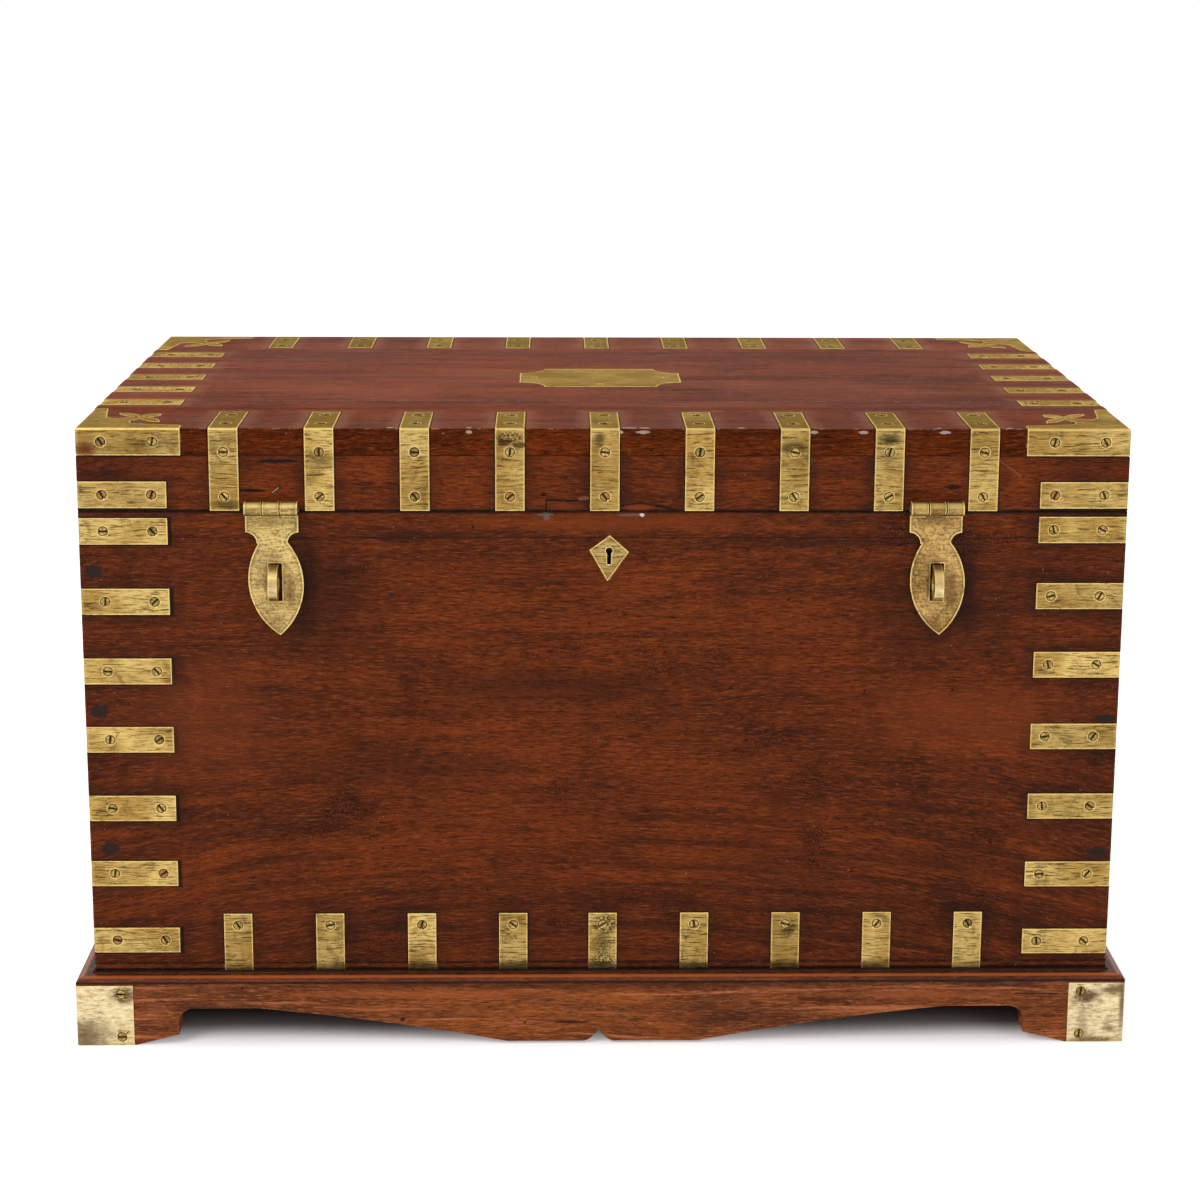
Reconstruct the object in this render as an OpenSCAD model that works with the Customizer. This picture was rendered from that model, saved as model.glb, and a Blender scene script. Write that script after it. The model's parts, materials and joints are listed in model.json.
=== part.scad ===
// Brass-bound military chest: a dovetailed case and a hinged lid on a shaped plinth,
// with strap-bound edges, two hasps, a box lock and two drop handles.
// Millimetres, +Z up. The front faces -Y. The origin is on the floor, in the middle of the outline.

/* [Case] */
// Width of the case across the front
case_w = 914; // [860:1:1100]
// Depth of the case from front to back
case_d = 508; // [470:1:620]
// Height of the case from the plinth to the lid
case_h = 431; // [400:1:520]
// Thickness of the upright boards of the case and the lid
board_t = 22; // [21:0.5:26]
// Thickness of the bottom boards
bottom_t = 13; // [11:0.5:18]
// Number of boards in the bottom
bottom_count = 3; // [2:1:5]

/* [Joints in the wood] */
// Wood left in front of each blind dovetail
lap_t = 6; // [4:0.5:8]
// Width of the pin between two tails, at its outer end
pin_w = 22; // [16:1:28]
// Slope of the sides of a tail, in degrees
tail_slope = 10; // [6:1:12]
// Least height of board for each tail
tail_pitch = 80; // [60:1:110]
// Gap in a dovetail or a tongue and groove
joint_gap = 0.1; // [0.05:0.05:0.3]

/* [Lid] */
// Height of the lid's rails
rail_h = 49; // [40:1:70]
// Thickness of the lid's planks
plank_t = 24; // [20:0.5:30]
// How far the front plank's seam lies behind the screws of the first end straps from the front
front_seam_past = 8; // [6:0.5:12]
// Width of the back plank
back_plank_w = 79; // [78:1:120]
// Length of a plank's tongue
tongue_l = 6; // [4:0.5:8]
// Thickness of a plank's tongue
tongue_t = 7; // [5:0.5:8]
// Seam between the closed lid and the case
seam_gap = 0.5; // [0.4:0.1:0.8]

/* [Plinth] */
// Height of the plinth
plinth_h = 59; // [56:1:80]
// How far the plinth stands out from the case
plinth_out = 15; // [12:0.5:22]
// Thickness of the plinth's aprons
apron_t = 24; // [20:0.5:30]
// Width of a foot at the end of an apron
foot_w = 91; // [80:1:110]
// Part of a foot that stands flat on the floor
foot_flat = 52; // [40:1:70]
// Height of a foot's worn inner edge above the floor
foot_worn = 9.8; // [2:0.1:12]
// Height of an arch beside the foot
arch_h = 35; // [30:1:40]
// Radius of the arch beside the foot
arch_r = 14; // [8:1:20]
// Level length of an arch on the front and the back
arch_flat_front = 58; // [30:1:90]
// Level length of an arch on the ends
arch_flat_end = 28; // [15:1:40]
// Half length of the belly in the middle of the front and back aprons
belly_front = 86; // [40:1:110]
// Half length of the belly in the middle of the end aprons
belly_end = 34; // [24:1:60]
// Height of the belly above the floor
belly_gap = 2.6; // [1:0.1:6]
// How far the long slope of an arch is bowed
arch_bow = 2.7; // [0:0.1:5]
// Width of the notch in the middle of a belly
notch_w = 26; // [16:1:34]
// Height of the notch above the belly
notch_h = 10.4; // [6:0.1:14]
// How far the front notch stands to the left of the middle
notch_left = 3.5; // [0:0.5:6]
// Side of the square ledgers inside the plinth
ledger_w = 20; // [15:1:26]
// Side of the corner blocks inside the plinth
block_w = 40; // [30:1:50]
// Height of the corner blocks above the floor
block_z = 8; // [4:1:16]

/* [Base moulding] */
// Height of the base moulding
moulding_h = 6.5; // [5:0.1:12]
// Height of the moulding's front edge
moulding_edge = 1.2; // [0.8:0.1:2.5]
// Width of the fillet at the top of the moulding
fillet_w = 2.2; // [1.5:0.1:4]
// Height of the fillet at the top of the moulding
fillet_h = 1.7; // [1:0.1:3]
// Swell of the moulding's rounded face
moulding_swell = 1.5; // [0.5:0.1:2]

/* [Brass straps] */
// Thickness of the straps and the lid's corner caps
brass_t = 2; // [1.5:0.1:3]
// How far the brass stands proud of the wood
brass_proud = 0.3; // [0.1:0.1:0.6]
// Gap between a strap's edge and its recess
inlay_gap = 0.3; // [0.1:0.1:0.6]
// Outer radius of a bent strap
bend_r = 2.5; // [1:0.1:4]
// Width of the straps over the lid's edges and under the case
strap_w = 25.4; // [18:0.1:32]
// Spacing of the straps along the front and the back
strap_pitch = 82.5; // [70:0.5:110]
// Spacing of the straps along the ends
end_strap_pitch = 66.5; // [55:0.5:90]
// Length of each strap's leg on top of the lid
lid_leg = 74; // [66:1:78]
// Length of the straps' legs down the back of the lid
lid_back_leg = 60; // [50:1:62]
// Height of the bottom straps on the faces of the case
bottom_leg = 60; // [40:1:80]
// Length of the bottom straps' legs under the case
under_leg = 30; // [15:1:40]
// Length of the corner straps on each face
corner_leg = 77; // [68:1:90]
// Width of the corner straps
corner_strap_w = 23.5; // [18:0.1:30]
// Spacing of the rows of corner straps
corner_pitch = 63.3; // [50:0.1:90]
// Height from the top row of corner straps to the lid's seam
corner_drop = 18; // [15:0.5:30]
// Height from the seam to the middle of the lid's corner straps
lid_corner_rise = 14; // [13:0.5:22]
// How much higher each row stands at the left front corner, from the top down
left_rows = [0, 0, 0, 0.5, 0, 2, 2];
// How much higher each row stands at the right front corner, from the top down
right_rows = [1.5, 5, 5.5, 2.5, 0.5, -0.5, -1.5];
// How far each bottom strap on the front stands to the right of its place, from the left
bottom_shifts = [2.5, 2.5, 2.5, 2];
// Distances of the screws from the edge, on the lid's straps
lid_screws = [21, 60.5];
// Distances of the screws from the edge, down the back of the lid
lid_back_screws = [17, 44];
// Distances of the screws from the corner, on the corner straps
corner_screws = [21, 64];
// Distance of the bottom straps' screws from their upper ends
bottom_screw_drop = 11; // [8:0.5:16]

/* [Corner caps and plates] */
// Length of a cap's flanges and legs
cap_leg = 90; // [84:1:100]
// Width of a cap's leg at its end
cap_leg_w = 13; // [9:0.5:16]
// Width of a cap's leg at its root
cap_root_w = 18; // [14:0.5:22]
// Distance of the leaf's centre from the lid's edges
leaf_at = 49; // [44:0.5:54]
// Radius of the leaf's hub
leaf_hub_r = 7.5; // [5:0.5:9]
// Distances of the screws from the corner, on a cap's flanges
cap_screws = [21.5, 66];
// Width of the plinth's corner plates on each face
plate_w = 51; // [40:1:60]
// Height of the plinth's corner plates
plate_h = 57; // [40:1:58]
// Distance of the plate screws from the corner
plate_screw_in = 40; // [30:1:44]
// Distance of the plate screws from the plate's ends
plate_screw_end = 8; // [6:0.5:14]

/* [Nameplate and escutcheon] */
// Length of the bare nameplate
name_l = 155; // [120:1:180]
// Width of the nameplate
name_w = 99; // [80:1:120]
// Radius of the nameplate's hollow corners
name_r = 24; // [10:1:30]
// Distance of the nameplate's pins from its edges
name_pin_in = 14; // [8:1:20]
// Width of the kite-shaped escutcheon
kite_w = 34.6; // [28:0.1:40]
// Height of the escutcheon above the keyhole
kite_up = 14; // [11:0.5:18]
// Height of the escutcheon below the keyhole
kite_down = 27.5; // [22:0.5:34]
// Lean of the escutcheon's kite, in degrees
kite_lean = 3; // [0:0.5:5]
// Radius of the round part of the keyhole
key_r = 3; // [2:0.1:3.5]
// Width of the keyhole's slot
key_slot_w = 3.4; // [2:0.1:4]
// Length of the keyhole's slot below its centre
key_slot_l = 12; // [8:0.5:14]

/* [Hasps and staples] */
// Distance of the hasps from the middle of the front
hasp_x = 289; // [280:0.5:300]
// Width of a hasp's knuckles and head
hasp_w = 46; // [38:0.5:50]
// Thickness of the hasp plate
hasp_t = 4; // [3:0.1:5]
// Outer radius of a hasp's knuckles
hasp_knuckle_r = 6.6; // [5.5:0.1:7.5]
// Radius of a hasp's pin
hasp_pin_r = 3; // [2.5:0.1:3.5]
// Height of a hasp's pin above the case
hasp_pin_rise = 4; // [3:0.1:6]
// Height of the hasp's square head below the knuckles
hasp_head_h = 15; // [12:0.5:20]
// Radius of the hasp's hollow shoulders
hasp_shoulder_r = 10; // [7:0.5:12]
// Width of the hasp at its belly
hasp_belly_w = 48; // [42:0.5:54]
// Height from the belly to the point
hasp_point_l = 48; // [42:0.5:56]
// Depth of the belly below the pin
hasp_belly_drop = 66.5; // [62:0.5:72]
// Lean of the hasp below its head, in degrees
hasp_lean = 3.5; // [0:0.5:5]
// How far the hasp's slot stands to the right of its pin's middle
hasp_slot_right = 2.2; // [0:0.1:3]
// How far a staple stands to the left of the middle of the hasp's slot
staple_left = 0.6; // [0:0.1:1]
// Width of the slot in the hasp
hasp_slot_w = 11.5; // [10:0.1:14]
// Depth of the fixed leaf under the lid's rail
hasp_leaf_d = 18; // [14:0.5:20]
// Thickness of a staple across the eye
staple_t = 7.8; // [6:0.1:9]
// Height of a staple
staple_h = 32; // [28:0.5:36]
// How far a staple reaches out of the case
staple_reach = 24; // [22:0.5:30]
// Radius of the padlock eye
eye_r = 7; // [5:0.1:7.5]
// Distance of the eye's centre from the case
eye_out = 12.5; // [12:0.1:14]
// Radius of a staple's shank
shank_r = 4; // [3:0.1:5]

/* [Lid hinges] */
// Distance of the outer hinges from the middle
hinge_x = 289; // [250:1:300]
// Length of a hinge
hinge_l = 76; // [60:1:80]
// Width of a hinge leaf in the wood
hinge_leaf_w = 16; // [12:0.5:18]
// Thickness of a hinge leaf
hinge_leaf_t = 2; // [1.5:0.1:3]
// Outer radius of a hinge knuckle
hinge_knuckle_r = 4; // [3.6:0.1:5]
// Radius of a hinge pin
hinge_pin_r = 2; // [1.5:0.1:2.5]

/* [Box lock] */
// Distance of the keyhole from the middle of the front
lock_x = 4; // [-10:0.5:10]
// Depth of the keyhole below the top of the case
lock_drop = 35.5; // [33:0.5:38]
// Width of the lock's box
lock_w = 80; // [76:1:90]
// Height of the lock's box
lock_h = 50; // [48:0.5:56]
// Wood left in front of the lock
lock_wood = 8; // [7:0.5:10]
// Travel of the lock's bolt
bolt_travel = 8; // [6:0.5:9]
// Distance of the hooks from the middle of the lock
hook_x = 20; // [18:0.5:22]
// Depth of the hooks below the link plate
hook_l = 15.5; // [14:0.5:17]

/* [End handles] */
// Height of the handle's pivot above the floor
handle_z = 304; // [260:1:330]
// Length of a handle's backplate
handle_plate_l = 160; // [150:1:180]
// Height of a handle's backplate
handle_plate_h = 40; // [34:1:50]
// Thickness of a handle's backplate
handle_plate_t = 3; // [2.5:0.1:4]
// Distance from the middle of the handle to each leg
handle_leg_y = 60; // [56:0.5:64]
// Drop of the grip below the pivot
handle_drop = 54; // [44:1:70]
// Radius of the handle's bar
bar_r = 4.5; // [4:0.1:5.5]
// Radius of the grip in its middle
grip_r = 7; // [5.5:0.1:7.2]
// Radius of the handle's bends
handle_bend_r = 12; // [9:0.5:16]
// Radius of an ear of the backplate
ear_r = 7; // [6:0.1:8]
// Width of an ear
ear_w = 10; // [8:0.5:12]

/* [Screws] */
// Head diameter of the strap screws
head_d = 9; // [7:0.1:10]
// Shank diameter of the strap screws
shank_d = 4.4; // [3.5:0.1:5]
// Length of the strap screws
screw_l = 16; // [12:0.5:18]
// Head diameter of the small screws
small_head_d = 7; // [5.5:0.1:7.5]
// Shank diameter of the small screws
small_shank_d = 3.4; // [2.5:0.1:4]
// Length of the small screws
small_screw_l = 11; // [9:0.5:12]
// Width of a screw's slot
slot_w = 1.1; // [0.8:0.1:1.5]
// Depth of a screw's slot
slot_depth = 0.9; // [0.6:0.1:1.2]
// Radius of the brass pins in the lid
pin_r = 2; // [1.5:0.1:2.5]
// Length of the brass pins in the lid
pin_l = 12; // [8:0.5:15]

/* [Clearances] */
// Radial clearance of a screw or a pin in its hole
screw_gap = 0.1; // [0.05:0.05:0.2]
// Radial clearance of a turning pin in its knuckle
pivot_gap = 0.06; // [0.02:0.01:0.1]
// Clearance between parts that pass each other
run_gap = 0.3; // [0.2:0.05:0.5]
// Clearance around the lock in its mortise
mortise_gap = 0.2; // [0.1:0.05:0.4]

/* [Hidden] */
$fn = 48;

// Length added to a cut where it has to run past a face
past = 1;

// Levels and faces
front_y = -case_d / 2;
back_y = case_d / 2;
end_x = case_w / 2;
case_z = plinth_h;
board_z = case_z + bottom_t;
split_z = case_z + case_h;
lid_z = split_z + seam_gap;
plank_z = lid_z + rail_h;
top_z = plank_z + plank_t;
frame_y = (staple_reach - plinth_out - brass_proud) / 2;
echo(frame_y = frame_y, top_z = top_z);

// Outward directions of the faces, as rotations of +Z
UP = [0, 0, 0];
DOWN = [180, 0, 0];
FRONT = [90, 0, 0];
BACK = [-90, 0, 0];
LEFT = [0, -90, 0];
RIGHT = [0, 90, 0];

// Places of the straps
strap_reserve = cap_leg + strap_w / 2 + 8;
strap_half = floor((end_x - strap_reserve) / strap_pitch);
strap_xs = [for (i = [-strap_half:strap_half]) i * strap_pitch];
end_strap_half = floor((case_d / 2 - strap_reserve) / end_strap_pitch);
end_strap_ys = [for (i = [-end_strap_half:end_strap_half]) i * end_strap_pitch];
corner_rows = floor((case_h - corner_drop - corner_strap_w / 2 - moulding_h - 4) / corner_pitch);
corner_zs = [for (i = [0:corner_rows]) split_z - corner_drop - i * corner_pitch];
lid_corner_z = lid_z + lid_corner_rise;

// Places of the fittings
staple_shift = hasp_slot_right - staple_left;
hinge_pin_y = back_y + hinge_knuckle_r + run_gap;
hinge_pin_z = split_z + seam_gap / 2;
hasp_pin_y = front_y - hasp_knuckle_r - run_gap;
hasp_pin_z = split_z + hasp_pin_rise;
key_z = split_z - lock_drop;
staple_z = hasp_pin_z - hasp_belly_drop;
handle_pivot_x = handle_plate_t + bar_r + run_gap;

module in_frame() {
  translate([0, frame_y, 0]) children();
}

module teak() {
  color([0.42, 0.17, 0.09]) children();
}

module deal() {
  color([0.55, 0.40, 0.25]) children();
}

module brass() {
  color([0.72, 0.60, 0.32]) children();
}

module screw_brass() {
  color([0.62, 0.50, 0.27]) children();
}

module iron() {
  color([0.33, 0.33, 0.34]) children();
}

// Screws: each place is [x, y, z, facing], where facing is an outward direction
function on_front(x, z) = [x, front_y - brass_proud, z, FRONT];
function on_back(x, z) = [x, back_y + brass_proud, z, BACK];
function on_left(y, z) = [-end_x - brass_proud, y, z, LEFT];
function on_right(y, z) = [end_x + brass_proud, y, z, RIGHT];
function on_top(x, y) = [x, y, top_z + brass_proud, UP];
function facing(places, way) = [for (p = places) if (p[3] == way) p];
function corner_faces(sx, sy, z, ins) = [
  for (d = ins) each [
    sy < 0 ? on_front(sx * (end_x - d), z) : on_back(sx * (end_x - d), z),
    sx < 0 ? on_left(sy * (case_d / 2 - d), z) : on_right(sy * (case_d / 2 - d), z)
  ]
];
function round_corners(z, ins) = [for (sx = [-1, 1], sy = [-1, 1]) each corner_faces(sx, sy, z, ins)];
function shift_of(list, i) = i < len(list) ? list[i] : 0;
function row_z(sx, sy, i) = corner_zs[i] + (sy > 0 ? 0 : shift_of(sx > 0 ? right_rows : left_rows, i));

case_corner_places = [
  for (sx = [-1, 1], sy = [-1, 1], i = [0:corner_rows])
    each corner_faces(sx, sy, row_z(sx, sy, i), corner_screws)
];
front_strap_xs = [for (i = [0:len(strap_xs) - 1]) strap_xs[i] + shift_of(bottom_shifts, i)];
bottom_strap_screw_z = case_z + bottom_leg - bottom_screw_drop;
bottom_strap_places = [
  for (x = front_strap_xs) on_front(x, bottom_strap_screw_z),
  for (x = strap_xs) on_back(x, bottom_strap_screw_z),
  for (y = end_strap_ys) each [on_left(y, bottom_strap_screw_z), on_right(y, bottom_strap_screw_z)]
];
case_strap_places = concat(case_corner_places, bottom_strap_places);

lid_front_places = [
  for (x = strap_xs, d = lid_screws) each [on_front(x, top_z - d), on_top(x, front_y + d)]
];
lid_back_places = [
  for (x = strap_xs) each [
    for (d = lid_screws) on_top(x, back_y - d),
    for (d = lid_back_screws) on_back(x, top_z - d)
  ]
];
lid_end_places = [
  for (y = end_strap_ys, d = lid_screws) each [
    on_left(y, top_z - d), on_right(y, top_z - d),
    on_top(-end_x + d, y), on_top(end_x - d, y)
  ]
];
lid_cap_places = round_corners(top_z - plank_t / 2, cap_screws);
lid_corner_places = round_corners(lid_corner_z, corner_screws);
lid_strap_places = concat(
  lid_front_places, lid_back_places, lid_end_places, lid_cap_places, lid_corner_places
);

plinth_plate_places = [
  for (z = [plate_screw_end, plate_h - plate_screw_end], side = [-1, 1]) each [
    [side * (end_x + plinth_out - plate_screw_in), front_y - plinth_out - brass_proud, z, FRONT],
    [side * (end_x + plinth_out - plate_screw_in), back_y + plinth_out + brass_proud, z, BACK],
    [-end_x - plinth_out - brass_proud, side * (case_d / 2 + plinth_out - plate_screw_in), z, LEFT],
    [end_x + plinth_out + brass_proud, side * (case_d / 2 + plinth_out - plate_screw_in), z, RIGHT]
  ]
];

// The bottom's screws stand between the straps, up into the case boards
bottom_bays = [-3.5, -1.5, 1.5, 3.5];
end_bays = [-1.5, -0.5, 0.5, 1.5];
bottom_places = [
  for (i = bottom_bays, side = [-1, 1]) [i * strap_pitch, side * (back_y - board_t / 2), case_z, DOWN],
  for (i = end_bays, side = [-1, 1]) [side * (end_x - board_t / 2), i * end_strap_pitch, case_z, DOWN]
];
ledger_bays = [-2.5, -0.5, 0.5, 2.5];
end_ledger_bays = [-2.5, 2.5];
ledger_mid = plinth_out - apron_t - ledger_w / 2;
ledger_places = [
  for (i = ledger_bays, side = [-1, 1])
    [i * strap_pitch, side * (back_y + ledger_mid), case_z - ledger_w, DOWN],
  for (i = end_ledger_bays, side = [-1, 1])
    [side * (end_x + ledger_mid), i * end_strap_pitch, case_z - ledger_w, DOWN]
];
ledger_screw_l = ledger_w + bottom_t * 0.75;

// Turn of the slots from one screw to the next, in degrees
slot_turn = 67;

module place_screws(places) {
  for (i = [0:len(places) - 1])
    translate([places[i][0], places[i][1], places[i][2]])
      rotate(places[i][3])
        rotate([0, 0, (i * slot_turn) % 180])
          children();
}

module screw_body(head, shank, l, gap, above) {
  head_h = (head - shank) / 2;
  tip_h = shank * 1.2;
  tip_r = 0.6;
  rotate_extrude()
    polygon([
      [0, above], [head / 2 + gap, above], [head / 2 + gap, 0], [shank / 2 + gap, -head_h],
      [shank / 2 + gap, -l + tip_h], [tip_r + gap, -l - gap], [0, -l - gap]
    ]);
}

module cut_screw(head, shank, l) {
  difference() {
    rotate_extrude()
      polygon([
        [0, 0], [head / 2, 0], [shank / 2, -(head - shank) / 2],
        [shank / 2, -l + shank * 1.2], [0.6, -l], [0, -l]
      ]);
    translate([-head, -slot_w / 2, -slot_depth]) cube([2 * head, slot_w, slot_depth + past]);
  }
}

module strap_screw(l = screw_l) {
  cut_screw(head_d, shank_d, l);
}

module strap_screw_hole(l = screw_l) {
  screw_body(head_d, shank_d, l, screw_gap, past);
}

module small_screw(l = small_screw_l) {
  cut_screw(small_head_d, small_shank_d, l);
}

module small_screw_hole(l = small_screw_l) {
  screw_body(small_head_d, small_shank_d, l, screw_gap, past);
}

// Bent strips: two legs from an outer corner at the origin, along +X and +Y, and as wide as w along Z
module strip(leg_x, leg_y, w, out_x = brass_proud, out_y = brass_proud) {
  linear_extrude(w, center = true)
    difference() {
      union() {
        translate([-out_x, -out_y]) square([leg_x + out_x, brass_t]);
        translate([-out_x, -out_y]) square([brass_t, leg_y + out_y]);
      }
      difference() {
        translate([-out_x - past, -out_y - past]) square(bend_r + past);
        translate([bend_r - out_x, bend_r - out_y]) circle(bend_r);
      }
    }
}

module strip_recess(leg_x, leg_y, w, out_x = brass_proud, out_y = brass_proud) {
  linear_extrude(w + 2 * inlay_gap, center = true) {
    translate([-past, -past]) square([leg_x + inlay_gap + past, brass_t - out_y + past]);
    translate([-past, -past]) square([brass_t - out_x + past, leg_y + inlay_gap + past]);
  }
}

module all_corners() {
  for (mx = [0, 1], my = [0, 1])
    mirror([mx, 0, 0]) mirror([0, my, 0]) translate([-end_x, front_y, 0]) children();
}

module case_corners() {
  for (sx = [-1, 1], sy = [-1, 1], i = [0:corner_rows])
    mirror([sx > 0 ? 1 : 0, 0, 0])
      mirror([0, sy > 0 ? 1 : 0, 0])
        translate([-end_x, front_y, row_z(sx, sy, i)])
          children();
}

module both_ends() {
  for (side = [-1, 1]) rotate([0, 0, side * 90]) for (y = end_strap_ys) translate([y, -end_x, 0]) children();
}

module lid_edge_strip(cut, down) {
  translate([0, 0, top_z])
    rotate([0, 90, 0])
      if (cut) strip_recess(down, lid_leg, strap_w);
      else strip(down, lid_leg, strap_w);
}

module bottom_strip(cut) {
  translate([0, 0, case_z])
    rotate([0, -90, 0])
      if (cut) strip_recess(bottom_leg, under_leg, strap_w, 0, brass_proud);
      else strip(bottom_leg, under_leg, strap_w, 0, brass_proud);
}

module corner_strip(cut) {
  if (cut) strip_recess(corner_leg, corner_leg, corner_strap_w);
  else strip(corner_leg, corner_leg, corner_strap_w);
}

lid_h = rail_h + plank_t;

module bottom_strips(cut) {
  for (x = front_strap_xs) translate([x, front_y, 0]) bottom_strip(cut);
  mirror([0, 1, 0]) for (x = strap_xs) translate([x, front_y, 0]) bottom_strip(cut);
  both_ends() bottom_strip(cut);
}

module case_cuts() {
  case_corners() corner_strip(true);
  bottom_strips(true);
  place_screws(case_strap_places) strap_screw_hole();
  place_screws(bottom_places) strap_screw_hole(bottom_t + screw_l);
}

module lid_strap_cuts() {
  for (x = strap_xs) {
    translate([x, front_y, 0]) lid_edge_strip(true, lid_h + past);
    mirror([0, 1, 0]) translate([x, front_y, 0]) lid_edge_strip(true, lid_back_leg);
  }
  both_ends() lid_edge_strip(true, lid_h + past);
  all_corners() {
    translate([0, 0, top_z]) cap_recess();
    translate([0, 0, lid_corner_z]) corner_strip(true);
  }
  place_screws(lid_strap_places) strap_screw_hole();
}

// Dovetails: the tails of an end board at its front end, on the side that faces +X
module tails(z0, z1, gap) {
  count = max(1, floor((z1 - z0) / tail_pitch));
  pitch = (z1 - z0) / count;
  tip = (pitch - pin_w) / 2 + gap;
  root = tip - (board_t - lap_t) * tan(tail_slope);
  for (i = [0:count - 1])
    translate([end_x - board_t - gap, front_y, z0 + (i + 0.5) * pitch])
      rotate([90, 0, 90])
        linear_extrude(board_t + (gap > 0 ? gap + past : 0))
          polygon([[lap_t - gap, -tip], [board_t, -root], [board_t, root], [lap_t - gap, tip]]);
}

module end_board(z0, z1) {
  translate([end_x - board_t, front_y + board_t, z0]) cube([board_t, case_d - 2 * board_t, z1 - z0]);
  tails(z0, z1, 0);
  mirror([0, 1, 0]) tails(z0, z1, 0);
}

module long_board(z0, z1) {
  difference() {
    translate([-end_x, front_y, z0]) cube([case_w, board_t, z1 - z0]);
    tails(z0, z1, joint_gap);
    mirror([1, 0, 0]) tails(z0, z1, joint_gap);
  }
}

// Wooden pieces of the case
module case_front() {
  in_frame() teak() difference() {
    long_board(board_z, split_z);
    case_cuts();
    for (side = [-1, 1]) translate([side * hasp_x + staple_shift, front_y, staple_z]) staple_hole();
    translate([lock_x, front_y, split_z]) lock_mortise();
    translate([lock_x, front_y, key_z]) kite_recess();
  }
}

module case_back() {
  in_frame() teak() difference() {
    mirror([0, 1, 0]) long_board(board_z, split_z);
    case_cuts();
    hinge_leaf_cuts(-1);
  }
}

module case_end(side) {
  in_frame() teak() difference() {
    mirror([side < 0 ? 1 : 0, 0, 0]) end_board(board_z, split_z);
    case_cuts();
    place_screws(handle_places(side)) strap_screw_hole();
  }
}

module case_left_end() {
  case_end(-1);
}

module case_right_end() {
  case_end(1);
}

bottom_board_w = case_d / bottom_count;

module bottom_boards() {
  in_frame() teak() difference() {
    for (i = [0:bottom_count - 1])
      translate([-end_x, front_y + i * bottom_board_w + (i > 0 ? joint_gap : 0), case_z])
        cube([case_w, bottom_board_w - (i > 0 ? joint_gap : 0), bottom_t]);
    case_cuts();
    place_screws(ledger_places) strap_screw_hole(ledger_screw_l);
  }
}

// Plinth: the lower edge of half an apron, from the notch to the foot
function bowed(a, b, bow, t) = [a[0] + (b[0] - a[0]) * t, a[1] + (b[1] - a[1]) * t + 4 * bow * t * (1 - t)];
function apron_edge(half, belly, flat, notch_at) =
  let (
    foot = half - foot_w,
    rise_end = [foot - arch_r - flat, arch_h],
    belly_end_point = [belly, belly_gap]
  )
  concat(
    [[notch_at, belly_gap + notch_h]],
    [for (t = [0.25:0.25:1]) [notch_at + notch_w / 2 * t, belly_gap + notch_h * pow(1 - t, 1.6)]],
    [for (t = [0:0.125:1]) bowed(belly_end_point, rise_end, arch_bow, t)],
    [for (a = [0:15:90]) [foot - arch_r + arch_r * sin(a), arch_h - arch_r + arch_r * cos(a)]],
    [[foot, foot_worn], [half - foot_flat, 0], [half, 0]]
  );

module apron_outline(half, belly, flat, notch_at) {
  edge = apron_edge(half, belly, flat, notch_at);
  other = apron_edge(half, belly, flat, -notch_at);
  others = [for (i = [len(other) - 1:-1:1]) [-other[i][0], other[i][1]]];
  polygon(concat(others, edge, [[half, plinth_h], [-half, plinth_h]]));
}

// A mitred bar whose outer face is the plane y = 0 and whose body lies behind it
module mitred(half, depth, h) {
  linear_extrude(h)
    polygon([[-half, 0], [half, 0], [half - depth, depth], [-half + depth, depth]]);
}

module apron(half, belly, flat, notch_at) {
  intersection() {
    translate([0, apron_t, 0]) rotate([90, 0, 0])
      linear_extrude(apron_t) apron_outline(half, belly, flat, notch_at);
    mitred(half, apron_t, plinth_h);
  }
}

plinth_half_w = end_x + plinth_out;
plinth_half_d = case_d / 2 + plinth_out;

module on_side(turn) {
  along_front = turn % 180 == 0;
  rotate([0, 0, turn]) translate([0, along_front ? -plinth_half_d : -plinth_half_w, 0]) children();
}

module plinth_side(turn) {
  long = turn % 180 == 0;
  in_frame() teak() difference() {
    on_side(turn)
      if (long) apron(plinth_half_w, belly_front, arch_flat_front, turn == 0 ? -notch_left : 0);
      else apron(plinth_half_d, belly_end, arch_flat_end, 0);
    plinth_plate_cuts();
  }
}

module plinth_front() {
  plinth_side(0);
}

module plinth_back() {
  plinth_side(180);
}

module plinth_left() {
  plinth_side(-90);
}

module plinth_right() {
  plinth_side(90);
}

module plinth_corners() {
  for (mx = [0, 1], my = [0, 1])
    mirror([mx, 0, 0]) mirror([0, my, 0]) translate([-plinth_half_w, -plinth_half_d, 0]) children();
}

module plinth_plate_cuts() {
  plinth_corners()
    translate([0, 0, plate_h / 2])
      strip_recess(plate_w, plate_w, plate_h);
  plinth_corners() translate([0, 0, -past]) linear_extrude(plate_h) union() {
    translate([-past, -past]) square([plate_w + inlay_gap + past, brass_t - brass_proud + past]);
    translate([-past, -past]) square([brass_t - brass_proud + past, plate_w + inlay_gap + past]);
  }
  place_screws(plinth_plate_places) strap_screw_hole();
}

module plinth_corner_plates() {
  in_frame() brass() difference() {
    plinth_corners() translate([0, 0, plate_h / 2]) strip(plate_w, plate_w, plate_h);
    place_screws(plinth_plate_places) strap_screw_hole();
  }
}

module plinth_plate_screws() {
  in_frame() screw_brass() place_screws(plinth_plate_places) strap_screw();
}

// Ledgers: two long ones, and two short ones between them
ledger_in = apron_t - plinth_out;

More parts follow.
